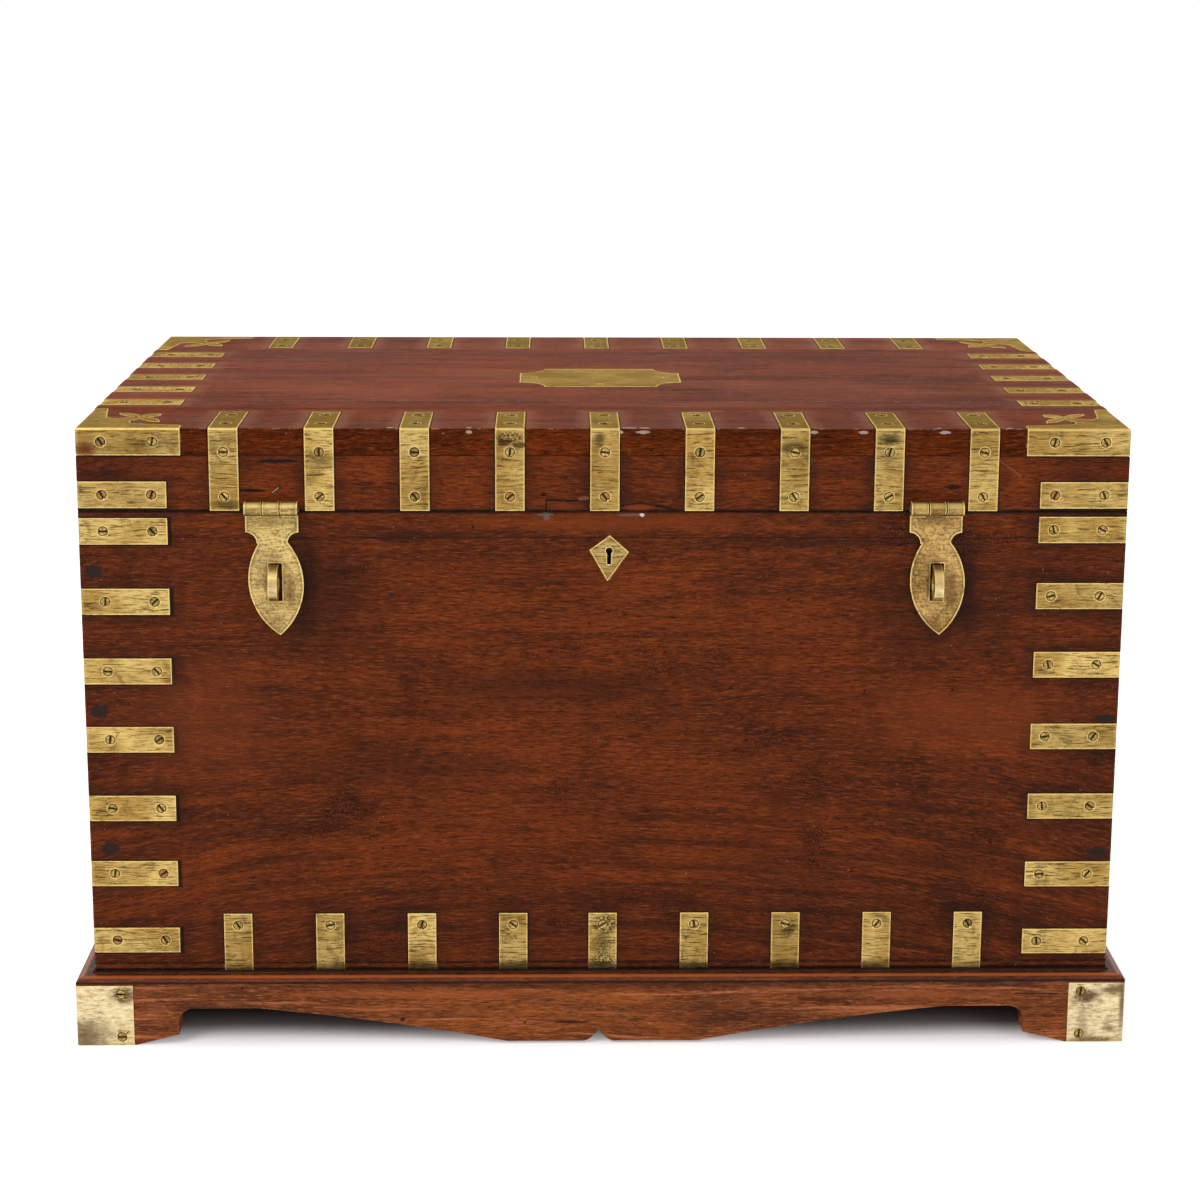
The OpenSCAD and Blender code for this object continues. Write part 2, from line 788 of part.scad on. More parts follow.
module plinth_ledgers() {
  long_l = case_w - 2 * ledger_in;
  short_l = case_d - 2 * (ledger_in + ledger_w + joint_gap);
  in_frame() deal() difference() {
    union() {
      for (my = [0, 1])
        mirror([0, my, 0])
          translate([-long_l / 2, front_y + ledger_in, case_z - ledger_w])
            cube([long_l, ledger_w, ledger_w]);
      for (mx = [0, 1])
        mirror([mx, 0, 0])
          translate([-end_x + ledger_in, -short_l / 2, case_z - ledger_w])
            cube([ledger_w, short_l, ledger_w]);
    }
    place_screws(ledger_places) strap_screw_hole(ledger_screw_l);
  }
}

module plinth_corner_blocks() {
  inner = plinth_out - apron_t;
  in_frame() deal()
    for (mx = [0, 1], my = [0, 1])
      mirror([mx, 0, 0]) mirror([0, my, 0])
        translate([-end_x - inner, front_y - inner, block_z])
          cube([block_w, block_w, case_z - ledger_w - block_z]);
}

module bottom_screws() {
  in_frame() screw_brass() place_screws(bottom_places) strap_screw(bottom_t + screw_l);
}

module ledger_screws() {
  in_frame() screw_brass() place_screws(ledger_places) strap_screw(ledger_screw_l);
}

// Base moulding: x runs out from the case's face and y runs up
moulding_gap = brass_proud + joint_gap;

module moulding_outline() {
  low = [plinth_out, moulding_edge];
  high = [fillet_w + 1, moulding_h - fillet_h];
  run = high - low;
  across = [-run[1], run[0]] / norm(run);
  polygon(concat(
    [[moulding_gap, 0], [plinth_out, 0]],
    [for (t = [0:0.125:1]) low + run * t - across * moulding_swell * sin(180 * t)],
    [[fillet_w, moulding_h - fillet_h], [fillet_w, moulding_h], [moulding_gap, moulding_h]]
  ));
}

module moulding_side(turn) {
  half = turn % 180 == 0 ? plinth_half_w : plinth_half_d;
  in_frame() teak()
    on_side(turn)
      translate([0, 0, plinth_h])
        intersection() {
          translate([-half, plinth_out, 0])
            rotate([90, 0, 90])
              linear_extrude(2 * half)
                mirror([1, 0]) moulding_outline();
          mitred(half, plinth_out, moulding_h);
        }
}

module moulding_front() {
  moulding_side(0);
}

module moulding_back() {
  moulding_side(180);
}

module moulding_left() {
  moulding_side(-90);
}

module moulding_right() {
  moulding_side(90);
}

// Brass on the case
module case_corner_straps() {
  in_frame() brass() difference() {
    case_corners() corner_strip(false);
    place_screws(case_corner_places) strap_screw_hole();
  }
}

module case_bottom_straps() {
  in_frame() brass() difference() {
    bottom_strips(false);
    place_screws(bottom_strap_places) strap_screw_hole();
  }
}

module case_strap_screws() {
  in_frame() screw_brass() place_screws(case_strap_places) strap_screw();
}

// Lid: planks on top of four rails
module lid_plank(y0, y1, tongue_front, tongue_back, groove_front, groove_back) {
  tongue_z = plank_z + (plank_t - tongue_t) / 2;
  in_frame() teak() difference() {
    union() {
      translate([-end_x, y0, plank_z]) cube([case_w, y1 - y0, plank_t]);
      if (tongue_front)
        translate([-end_x, y0 - tongue_l, tongue_z]) cube([case_w, tongue_l + past, tongue_t]);
      if (tongue_back)
        translate([-end_x, y1 - past, tongue_z]) cube([case_w, tongue_l + past, tongue_t]);
    }
    if (groove_front) tongue_groove(y0, tongue_z);
    if (groove_back) mirror([0, 1, 0]) tongue_groove(-y1, tongue_z);
    lid_strap_cuts();
    translate([0, 0, top_z]) nameplate_recess();
    place_pins() lid_pin_hole();
  }
}

module tongue_groove(y, z) {
  translate([-end_x - past, y - past, z - joint_gap])
    cube([case_w + 2 * past, tongue_l + joint_gap + past, tongue_t + 2 * joint_gap]);
}

front_seam_y = -end_strap_half * end_strap_pitch + front_seam_past;
back_seam_y = back_y - back_plank_w;

module lid_front_plank() {
  lid_plank(front_y, front_seam_y - joint_gap, false, false, false, true);
}

module lid_middle_plank() {
  lid_plank(front_seam_y, back_seam_y, true, true, false, false);
}

module lid_back_plank() {
  lid_plank(back_seam_y + joint_gap, back_y, false, false, true, false);
}

module lid_front_rail() {
  in_frame() teak() difference() {
    long_board(lid_z, plank_z);
    lid_strap_cuts();
    hasp_leaf_cuts();
    translate([lock_x, front_y, split_z]) link_plate_cut();
  }
}

module lid_back_rail() {
  in_frame() teak() difference() {
    mirror([0, 1, 0]) long_board(lid_z, plank_z);
    lid_strap_cuts();
    hinge_leaf_cuts(1);
  }
}

module lid_end_rail(side) {
  in_frame() teak() difference() {
    mirror([side < 0 ? 1 : 0, 0, 0]) end_board(lid_z, plank_z);
    lid_strap_cuts();
  }
}

module lid_left_rail() {
  lid_end_rail(-1);
}

module lid_right_rail() {
  lid_end_rail(1);
}

// Corner caps: an ornamental top plate with two flanges that cover the planks' edges
bay_r = 10.5;
bay_at = [cap_root_w + bay_r, leaf_at + 4];
leaf_l = 30;
leaf_w = 11;
leaf_turn = 95;
main_leaf_l = 21;
main_leaf_w = 13.5;
leg_end_r = 4;

module leaf_shape(l, w, gap) {
  r = (l * l + w * w) / (4 * w);
  intersection() {
    translate([l / 2, r - w / 2]) circle(r + gap);
    translate([l / 2, w / 2 - r]) circle(r + gap);
  }
}

module cap_leg_shape(gap) {
  translate([-brass_proud, -brass_proud])
    square([cap_leg - leg_end_r + brass_proud, cap_leg_w + brass_proud + gap]);
  translate([-brass_proud, -brass_proud])
    square([cap_leg + brass_proud + gap, cap_leg_w - leg_end_r + brass_proud]);
  translate([cap_leg - leg_end_r, cap_leg_w - leg_end_r]) circle(leg_end_r + gap);
  polygon([[0, 0], [cap_leg - leg_end_r, 0], [cap_leg - leg_end_r, cap_leg_w + gap],
    [bay_at[1], cap_root_w + gap], [0, cap_root_w + gap]]);
}

module cap_outline(gap) {
  difference() {
    union() {
      polygon([[0, 0], [bay_at[1], 0], [bay_at[1], bay_at[0]], [bay_at[0], bay_at[1]], [0, bay_at[1]]]);
      cap_leg_shape(gap);
      mirror([1, -1]) cap_leg_shape(gap);
    }
    translate(bay_at) circle(bay_r - gap);
    translate([bay_at[1], bay_at[0]]) circle(bay_r - gap);
  }
  translate([leaf_at, leaf_at]) {
    circle(leaf_hub_r + gap);
    rotate(45) leaf_shape(main_leaf_l, main_leaf_w, gap);
    for (side = [-1, 1]) rotate(45 + side * leaf_turn) leaf_shape(leaf_l, leaf_w, gap);
    rotate(225) translate([0, -leaf_w / 2 - gap])
      square([leaf_at * sqrt(2) - norm(bay_at) * 0.7, leaf_w + 2 * gap]);
  }
}

module edge_round(l) {
  difference() {
    translate([-past, -past, -past]) cube([bend_r + past, bend_r + past, l + 2 * past]);
    translate([bend_r, bend_r, -2 * past]) cylinder(r = bend_r, h = l + 4 * past);
  }
}

module cap_solid() {
  whole = cap_leg + brass_proud;
  difference() {
    union() {
      translate([-brass_proud, -brass_proud, -plank_t]) cube([whole, brass_t, plank_t + brass_proud]);
      translate([-brass_proud, -brass_proud, -plank_t]) cube([brass_t, whole, plank_t + brass_proud]);
      translate([0, 0, brass_proud - brass_t]) linear_extrude(brass_t) cap_outline(0);
    }
    translate([-brass_proud, -brass_proud, -plank_t]) edge_round(plank_t + brass_proud);
    translate([-brass_proud, -brass_proud, brass_proud]) {
      rotate([0, 90, 0]) edge_round(whole);
      rotate([-90, 0, 0]) edge_round(whole);
    }
    translate([leaf_at, leaf_at, 0]) lid_pin_hole();
  }
}

module cap_recess() {
  translate([-past, -past, -plank_t - past])
    cube([cap_leg + inlay_gap + past, brass_t - brass_proud + past, plank_t + 2 * past]);
  translate([-past, -past, -plank_t - past])
    cube([brass_t - brass_proud + past, cap_leg + inlay_gap + past, plank_t + 2 * past]);
  translate([0, 0, brass_proud - brass_t]) linear_extrude(brass_t + past) cap_outline(inlay_gap);
}

module lid_corner_caps() {
  in_frame() brass() difference() {
    all_corners() translate([0, 0, top_z]) cap_solid();
    place_screws(lid_cap_places) strap_screw_hole();
  }
}

module lid_corner_straps() {
  in_frame() brass() difference() {
    all_corners() translate([0, 0, lid_corner_z]) corner_strip(false);
    place_screws(lid_corner_places) strap_screw_hole();
  }
}

module lid_front_straps() {
  in_frame() brass() difference() {
    for (x = strap_xs) translate([x, front_y, 0]) lid_edge_strip(false, lid_h);
    place_screws(lid_front_places) strap_screw_hole();
  }
}

module lid_back_straps() {
  in_frame() brass() difference() {
    mirror([0, 1, 0]) for (x = strap_xs) translate([x, front_y, 0]) lid_edge_strip(false, lid_back_leg);
    place_screws(lid_back_places) strap_screw_hole();
  }
}

module lid_end_straps() {
  in_frame() brass() difference() {
    both_ends() lid_edge_strip(false, lid_h);
    place_screws(lid_end_places) strap_screw_hole();
  }
}

module lid_strap_screws() {
  in_frame() screw_brass() place_screws(lid_strap_places) strap_screw();
}

// Nameplate, left bare, and the pins of the nameplate and the caps
name_pin_places = [
  [-name_l / 2 + name_pin_in, 0], [name_l / 2 - name_pin_in, 0],
  [0, -name_w / 2 + name_pin_in], [0, name_w / 2 - name_pin_in]
];

module name_outline(gap) {
  difference() {
    square([name_l + 2 * gap, name_w + 2 * gap], center = true);
    for (sx = [-1, 1], sy = [-1, 1]) translate([sx * name_l / 2, sy * name_w / 2]) circle(name_r - gap);
  }
}

module nameplate() {
  in_frame() brass() difference() {
    translate([0, 0, top_z + brass_proud - brass_t]) linear_extrude(brass_t) name_outline(0);
    place_pins() lid_pin_hole();
  }
}

module nameplate_recess() {
  translate([0, 0, brass_proud - brass_t]) linear_extrude(brass_t + past) name_outline(inlay_gap);
}

module place_pins() {
  for (p = name_pin_places) translate([p[0], p[1], top_z]) children();
  all_corners() translate([leaf_at, leaf_at, top_z]) children();
}

module lid_pin() {
  translate([0, 0, brass_proud - pin_l]) cylinder(r = pin_r, h = pin_l);
}

module lid_pin_hole() {
  translate([0, 0, brass_proud - pin_l - screw_gap]) cylinder(r = pin_r + screw_gap, h = pin_l + past);
}

module lid_pins() {
  in_frame() screw_brass() place_pins() lid_pin();
}

// Escutcheon and lock, in a frame with its origin in the keyhole or at the top of the case
module kite_outline(gap) {
  w = kite_w / 2 + gap;
  rotate(-kite_lean) polygon([[0, kite_up + gap], [w, 0], [0, -kite_down - gap], [-w, 0]]);
}

module keyhole_outline(gap) {
  circle(key_r + gap);
  translate([-key_slot_w / 2 - gap, -key_slot_l - gap]) square([key_slot_w + 2 * gap, key_slot_l]);
}

module kite_recess() {
  translate([0, brass_t - brass_proud, 0]) rotate([90, 0, 0])
    linear_extrude(brass_t + past) kite_outline(inlay_gap);
  translate([0, lock_wood + past, 0]) rotate([90, 0, 0])
    linear_extrude(lock_wood + 2 * past) keyhole_outline(0.4);
}

module escutcheon() {
  in_frame() brass()
    translate([lock_x, front_y + brass_t - brass_proud, key_z])
      rotate([90, 0, 0])
        linear_extrude(brass_t)
          difference() {
            kite_outline(0);
            keyhole_outline(0);
          }
}

lock_wall = 1.5;
selvedge_side = 10;
lock_plate_low = 4;
lock_screw_out = 5;
lock_screw_drops = [14, 42];
link_plate_side = 3;
link_screw_in = 6;
lock_plate_t = 2;
selvedge_t = 2.5;
selvedge_l = lock_w + 2 * selvedge_side;
selvedge_in = lock_wood - 1;
lock_depth = board_t - lock_wood - lock_plate_t;
bolt_t = 4;
bolt_y = lock_wood + lock_wall + (lock_depth - lock_wall) / 2;
stud_r = 2;
stud_x = 14;
bolt_z = -25;
hook_t = 4;
hook_w = 8;
eye_w = 5;
eye_h = 8;
finger_h = 4.5;
arm_w = 5;
eye_z = -hook_l + 2;
finger_z = eye_z + (eye_h - finger_h) / 2;
finger_gap = 1;
bar_half_h = 4;

module lock_mortise() {
  g = mortise_gap;
  translate([-lock_w / 2 - g, lock_wood - g, -selvedge_t - lock_h - g])
    cube([lock_w + 2 * g, board_t + past, lock_h + selvedge_t + past]);
  translate([-selvedge_l / 2 - g, board_t - lock_plate_t, -selvedge_t - lock_h - lock_plate_low - g])
    cube([selvedge_l + 2 * g, lock_plate_t + past, lock_h + lock_plate_low + selvedge_t + past]);
  translate([-selvedge_l / 2 - g, selvedge_in - g, -selvedge_t])
    cube([selvedge_l + 2 * g, board_t, selvedge_t + past]);
  for (p = lock_plate_places) translate(p) rotate(BACK) small_screw_hole();
  for (p = selvedge_places) translate(p) small_screw_hole();
}

lock_plate_places = [
  for (sx = [-1, 1], drop = lock_screw_drops) [sx * (lock_w / 2 + lock_screw_out), board_t, -drop]
];
selvedge_mid = (selvedge_in + board_t) / 2;
selvedge_places = [for (sx = [-1, 1]) [sx * (lock_w / 2 + lock_screw_out), selvedge_mid, 0]];
link_plate_l = lock_w + 2 * link_plate_side;
link_places = [for (sx = [-1, 1]) [sx * (link_plate_l / 2 - link_screw_in), selvedge_mid, seam_gap]];

module lock_case() {
  in_frame() iron() translate([lock_x, front_y, split_z]) {
    difference() {
      union() {
        translate([-lock_w / 2, lock_wood, -selvedge_t - lock_h]) cube([lock_w, lock_depth, lock_h]);
        translate([-selvedge_l / 2, board_t - lock_plate_t, -selvedge_t - lock_h - lock_plate_low])
          cube([selvedge_l, lock_plate_t, lock_h + lock_plate_low]);
      }
      translate([-lock_w / 2 + lock_wall, lock_wood + lock_wall, -selvedge_t - lock_h + lock_wall])
        cube([lock_w - 2 * lock_wall, lock_depth - lock_wall, lock_h]);
      translate([0, lock_wood + lock_wall + past, -lock_drop])
        rotate([90, 0, 0])
          linear_extrude(lock_wall + 2 * past) keyhole_outline(0);
      for (p = lock_plate_places) translate(p) rotate(BACK) small_screw_hole();
    }
    for (x = [-stud_x, stud_x])
      translate([x, board_t - lock_plate_t, bolt_z])
        rotate([90, 0, 0])
          cylinder(r = stud_r, h = lock_depth - lock_wall);
    translate([0, board_t - lock_plate_t, -lock_drop])
      rotate([90, 0, 0])
        cylinder(r = key_r / 2, h = lock_depth - lock_wall);
  }
}

module lock_selvedge() {
  in_frame() brass() translate([lock_x, front_y, split_z]) difference() {
    translate([-selvedge_l / 2, selvedge_in, -selvedge_t])
      cube([selvedge_l, board_t - selvedge_in, selvedge_t]);
    for (x = [-hook_x, hook_x])
      translate([x - hook_t, bolt_y - hook_w / 2 - 0.8, -selvedge_t - past])
        cube([2 * hook_t, hook_w + 1.6, selvedge_t + 2 * past]);
    for (p = selvedge_places) translate(p) small_screw_hole();
  }
}

// The bolt slides on two studs, and its two fingers go through the hooks
module lock_bolt() {
  slot_h = stud_r + 0.2;
  bar_z = bolt_z - bar_half_h;
  arm_back = hook_t / 2 + finger_gap + bolt_travel + arm_w;
  in_frame() iron()
    translate([lock_x, front_y + bolt_y + bolt_t / 2, split_z])
      rotate([90, 0, 0])
        linear_extrude(bolt_t)
          difference() {
            union() {
              translate([-hook_x - arm_back, bar_z]) square([2 * hook_x + arm_back - 2, 2 * bar_half_h]);
              for (x = [-hook_x, hook_x]) translate([x - arm_back, 0]) {
                translate([0, bar_z]) square([arm_w, finger_z + finger_h - bar_z]);
                translate([0, finger_z]) square([arm_w + bolt_travel, finger_h]);
              }
            }
            for (x = [-stud_x, stud_x]) {
              translate([x - bolt_travel, bolt_z]) circle(slot_h);
              translate([x, bolt_z]) circle(slot_h);
              translate([x - bolt_travel, bolt_z - slot_h]) square([bolt_travel, 2 * slot_h]);
            }
          }
}

module link_plate_cut() {
  g = mortise_gap;
  translate([-link_plate_l / 2 - g, selvedge_in - g, -past])
    cube([link_plate_l + 2 * g, board_t, seam_gap + hinge_leaf_t + past]);
  for (p = link_places) translate(p) rotate(DOWN) small_screw_hole();
}

module lock_link_plate() {
  in_frame() brass() translate([lock_x, front_y, split_z]) {
    difference() {
      translate([-link_plate_l / 2, selvedge_in, seam_gap])
        cube([link_plate_l, board_t - selvedge_in, hinge_leaf_t]);
      for (p = link_places) translate(p) rotate(DOWN) small_screw_hole();
    }
    for (x = [-hook_x, hook_x])
      translate([x - hook_t / 2, bolt_y - hook_w / 2, 0])
        difference() {
          translate([0, 0, -hook_l]) cube([hook_t, hook_w, hook_l + seam_gap + 0.5]);
          translate([-past, (hook_w - eye_w) / 2, eye_z]) cube([hook_t + 2 * past, eye_w, eye_h]);
        }
  }
}

// Lid hinges, in a frame with its origin on the pin's axis
hinge_parts = 5;
hinge_part_l = hinge_l / hinge_parts;
hinge_screw_xs = [-hinge_l * 0.36, 0, hinge_l * 0.36];
hinge_leaf_in = hinge_leaf_w + hinge_pin_y - back_y;

module hinge_places() {
  for (x = [-hinge_x, 0, hinge_x]) translate([x, hinge_pin_y, hinge_pin_z]) children();
}

module hinge_cylinder(r, part, gap) {
  translate([-hinge_l / 2 + part * hinge_part_l + gap, 0, 0])
    rotate([0, 90, 0])
      cylinder(r = r, h = hinge_part_l - 2 * gap);
}

// up is 1 for the leaf on the lid and -1 for the leaf on the case
module hinge_leaf(up) {
  own = up > 0 ? [1, 3] : [0, 2, 4];
  others = up > 0 ? [0, 2, 4] : [1, 3];
  z0 = up > 0 ? seam_gap / 2 : -seam_gap / 2 - hinge_leaf_t;
  difference() {
    union() {
      translate([-hinge_l / 2, -hinge_leaf_in, z0]) cube([hinge_l, hinge_leaf_in, hinge_leaf_t]);
      for (k = own) hinge_cylinder(hinge_knuckle_r, k, screw_gap);
    }
    for (k = others) hinge_cylinder(hinge_knuckle_r + run_gap - 0.05, k, 0);
    translate([-hinge_l, 0, 0]) rotate([0, 90, 0]) cylinder(r = hinge_pin_r + pivot_gap, h = 2 * hinge_l);
    hinge_leaf_screws(up) small_screw_hole();
  }
}

module hinge_leaf_screws(up) {
  for (x = hinge_screw_xs)
    translate([x, back_y - hinge_pin_y - hinge_leaf_w / 2, up * seam_gap / 2])
      rotate(up > 0 ? DOWN : UP)
        children();
}

module hinge_leaf_cuts(up) {
  hinge_places() {
    low = up > 0 ? 0 : -seam_gap / 2 - hinge_leaf_t;
    tall = hinge_leaf_t + seam_gap / 2 + (up > 0 ? 0 : past);
    translate([-hinge_l / 2 - mortise_gap, -hinge_leaf_in - mortise_gap, low])
      cube([hinge_l + 2 * mortise_gap, hinge_leaf_in + past, tall]);
    hinge_leaf_screws(up) small_screw_hole();
  }
}

module hinge_case_leaves() {
  in_frame() brass() hinge_places() hinge_leaf(-1);
}

module hinge_lid_leaves() {
  in_frame() brass() hinge_places() hinge_leaf(1);
}

module hinge_pins() {
  in_frame() screw_brass()
    hinge_places()
      translate([-hinge_l / 2, 0, 0])
        rotate([0, 90, 0])
          cylinder(r = hinge_pin_r, h = hinge_l);
}

module case_fitting_screws() {
  in_frame() screw_brass() {
    hinge_places() hinge_leaf_screws(-1) small_screw();
    translate([lock_x, front_y, split_z]) {
      for (p = lock_plate_places) translate(p) rotate(BACK) small_screw();
      for (p = selvedge_places) translate(p) small_screw();
    }
    for (side = [-1, 1]) place_screws(handle_places(side)) strap_screw();
  }
}

// Hasps, in a frame with its origin on the pin's axis
hasp_part_l = hasp_w / 3;
knuckle_gap = 0.2;
hasp_back = hasp_knuckle_r + run_gap - 0.5;
hasp_head_top = -hasp_knuckle_r - run_gap;
hasp_head_low = hasp_head_top - hasp_head_h;
hasp_leaf_z = lid_z - hasp_pin_z;
hasp_leaf_t = 2;

module hasp_cylinder(r, part, gap) {
  translate([-hasp_w / 2 + part * hasp_part_l + gap, 0, 0])
    rotate([0, 90, 0])
      cylinder(r = r, h = hasp_part_l - 2 * gap);
}

module both_hasps() {
  for (side = [-1, 1]) translate([side * hasp_x, hasp_pin_y, hasp_pin_z]) children();
}

module hasp_outline() {
  r = (hasp_point_l * hasp_point_l + hasp_belly_w * hasp_belly_w / 4) / hasp_belly_w;
  translate([-hasp_w / 2, hasp_head_low]) square([hasp_w, hasp_head_h]);
  difference() {
    translate([-hasp_w / 2, hasp_head_low - hasp_shoulder_r]) square([hasp_w, hasp_shoulder_r + past]);
    for (side = [-1, 1])
      translate([side * (hasp_w / 2 + 0.3), hasp_head_low - hasp_shoulder_r])
        circle(hasp_shoulder_r);
  }
  translate([0, hasp_head_low]) rotate(hasp_lean) translate([0, -hasp_head_low])
    difference() {
      translate([0, -hasp_belly_drop])
        intersection() {
          translate([r - hasp_belly_w / 2, 0]) circle(r, $fn = 96);
          translate([hasp_belly_w / 2 - r, 0]) circle(r, $fn = 96);
        }
      translate([-hasp_w, hasp_head_low - hasp_shoulder_r + past]) square(2 * hasp_w);
    }
}

module hasp_solid() {
  slot_h = staple_h + 2;
  difference() {
    union() {
      translate([0, hasp_back, 0]) rotate([90, 0, 0]) linear_extrude(hasp_t) hasp_outline();
      hasp_cylinder(hasp_knuckle_r, 1, knuckle_gap);
      translate([-hasp_part_l / 2 + knuckle_gap, hasp_back - hasp_t, hasp_head_top - past])
        cube([hasp_part_l - 2 * knuckle_gap, hasp_t, hasp_leaf_z - run_gap - hasp_head_top + past]);
    }
    translate([hasp_slot_right - hasp_slot_w / 2, -hasp_knuckle_r, -hasp_belly_drop - slot_h / 2])
      cube([hasp_slot_w, 3 * hasp_knuckle_r, slot_h]);
    translate([-hasp_w, 0, 0]) rotate([0, 90, 0]) cylinder(r = hasp_pin_r + pivot_gap, h = 2 * hasp_w);
  }
}

module left_hasp() {
  in_frame() brass() translate([-hasp_x, hasp_pin_y, hasp_pin_z]) hasp_solid();
}

module right_hasp() {
  in_frame() brass() translate([hasp_x, hasp_pin_y, hasp_pin_z]) hasp_solid();
}

hasp_leaf_back = front_y - hasp_pin_y + hasp_leaf_d;

module hasp_leaf_screws() {
  for (x = [-hasp_w * 0.28, hasp_w * 0.28])
    translate([x, hasp_leaf_back - hasp_leaf_d / 2, hasp_leaf_z])
      rotate(DOWN)
        children();
}

module hasp_leaf() {
  difference() {
    union() {
      translate([-hasp_w / 2, 0, hasp_leaf_z]) cube([hasp_w, hasp_leaf_back, hasp_leaf_t]);
      for (k = [0, 2]) hasp_cylinder(hasp_knuckle_r, k, 0);
    }
    hasp_cylinder(hasp_knuckle_r + run_gap - 0.05, 1, 0);
    translate([-hasp_w, 0, 0]) rotate([0, 90, 0]) cylinder(r = hasp_pin_r + screw_gap, h = 2 * hasp_w);
    hasp_leaf_screws() small_screw_hole();
  }
}

module hasp_leaf_cuts() {
  both_hasps() {
    translate([-hasp_w / 2 - mortise_gap, 0, hasp_leaf_z - past])
      cube([hasp_w + 2 * mortise_gap, hasp_leaf_back + mortise_gap, hasp_leaf_t + past]);
    hasp_leaf_screws() small_screw_hole();
  }
}

module hasp_leaves() {
  in_frame() brass() both_hasps() hasp_leaf();
}

module hasp_pins() {
  in_frame() screw_brass()
    both_hasps()
      translate([-hasp_w / 2, 0, 0])
        rotate([0, 90, 0])
          cylinder(r = hasp_pin_r, h = hasp_w);
}

module lid_fitting_screws() {
  in_frame() screw_brass() {
    hinge_places() hinge_leaf_screws(1) small_screw();
    both_hasps() hasp_leaf_screws() small_screw();
    translate([lock_x, front_y, split_z]) for (p = link_places) translate(p) rotate(DOWN) small_screw();
  }
}

// Staples, in a frame with its origin on the face of the case, under the middle of the hasp's slot
nut_pocket_r = 11;
nut_pocket_depth = 8;
washer_t = 1.5;
washer_r = 10;
nut_t = 5;
nut_r = 8;
shank_l = board_t - nut_pocket_depth + washer_t + nut_t + 1;
staple_straight = staple_reach - staple_h / 2;

module staple_solid() {
  difference() {
    union() {
      translate([-staple_t / 2, 0, 0])
        rotate([90, 0, 90])
          linear_extrude(staple_t) {
            translate([-staple_straight, -staple_h / 2]) square([staple_straight, staple_h]);
            intersection() {
              translate([-staple_straight, 0]) circle(staple_h / 2);
              translate([-staple_reach, -staple_h / 2]) square([staple_reach, staple_h]);
            }
          }
      rotate([-90, 0, 0]) cylinder(r = shank_r, h = shank_l);
    }
    translate([-staple_t, -eye_out, 0]) rotate([0, 90, 0]) cylinder(r = eye_r, h = 2 * staple_t);
  }
}

module staple_hole() {
  rotate([-90, 0, 0]) translate([0, 0, -past]) cylinder(r = shank_r + screw_gap, h = board_t + 2 * past);
  translate([0, board_t - nut_pocket_depth, 0])
    rotate([-90, 0, 0])
      cylinder(r = nut_pocket_r, h = nut_pocket_depth + past);
}

module left_staple() {
  in_frame() brass() translate([-hasp_x + staple_shift, front_y, staple_z]) staple_solid();
}

module right_staple() {
  in_frame() brass() translate([hasp_x + staple_shift, front_y, staple_z]) staple_solid();
}

// Each staple has a washer and a six-sided nut on it, sunk in the back of the board
module staple_nuts() {
  in_frame() screw_brass()
    for (side = [-1, 1])
      translate([side * hasp_x + staple_shift, front_y + board_t - nut_pocket_depth, staple_z])
        rotate([-90, 0, 0])
          difference() {
            union() {
              cylinder(r = washer_r, h = washer_t);
              cylinder(r = nut_r, h = washer_t + nut_t, $fn = 6);
            }
            translate([0, 0, -past]) cylinder(r = shank_r + screw_gap, h = washer_t + nut_t + 2 * past);
          }
}

// End handles: made for the right end, where x runs out from the face and y along it
handle_rise = 4;
handle_screw_ys = [-1, 1] * (handle_leg_y + bar_r + head_d / 2 + 1);
handle_inner_ys = [-1, 1] * handle_leg_y * 0.45;
handle_plate_face = end_x + handle_plate_t;

function handle_places(side) = [
  for (y = concat(handle_screw_ys, handle_inner_ys))
    [side * handle_plate_face, y, handle_z - handle_rise, side < 0 ? LEFT : RIGHT]
];

module handle_plate_solid() {
  ear_y = handle_leg_y - bar_r - run_gap - ear_w;
  end_r = handle_plate_h / 2;
  stop_z = bar_r + run_gap / 2;
  difference() {
    union() {
      translate([0, 0, -handle_rise])
        rotate([90, 0, 90])
          linear_extrude(handle_plate_t) {
            square([handle_plate_l - 2 * end_r, handle_plate_h], center = true);
            for (s = [-1, 1]) translate([s * (handle_plate_l / 2 - end_r), 0]) circle(end_r);
          }
      for (my = [0, 1]) mirror([0, my, 0]) {
        translate([handle_pivot_x, ear_y, 0]) rotate([-90, 0, 0]) cylinder(r = ear_r, h = ear_w);
        translate([0, ear_y, stop_z]) cube([handle_pivot_x + bar_r, handle_leg_y + bar_r - ear_y, 7]);
      }
    }
    translate([handle_pivot_x, -handle_leg_y, 0])
      rotate([-90, 0, 0])
        cylinder(r = 3.2 + pivot_gap, h = 2 * handle_leg_y);
  }
}

module handle_solid() {
  pin_in = ear_w + run_gap + bar_r;
  leg_l = handle_drop - handle_bend_r;
  grip_half = handle_leg_y - handle_bend_r;
  for (my = [0, 1]) mirror([0, my, 0]) {
    translate([0, handle_leg_y - pin_in, 0]) rotate([-90, 0, 0]) cylinder(r = 3.2, h = pin_in);
    translate([0, handle_leg_y, 0]) sphere(bar_r);
    translate([0, handle_leg_y, -leg_l]) cylinder(r = bar_r, h = leg_l);
    translate([0, grip_half, -leg_l])
      rotate([0, 90, 0])
        rotate_extrude(angle = 90)
          translate([handle_bend_r, 0]) circle(bar_r);
  }
  translate([0, 0, -handle_drop])
    rotate([-90, 0, 0])
      rotate_extrude()
        polygon(concat(
          [[0, -grip_half]],
          [for (t = [-1:0.125:1]) [bar_r + (grip_r - bar_r) * pow(cos(90 * t), 2), t * grip_half]],
          [[0, grip_half]]
        ));
}

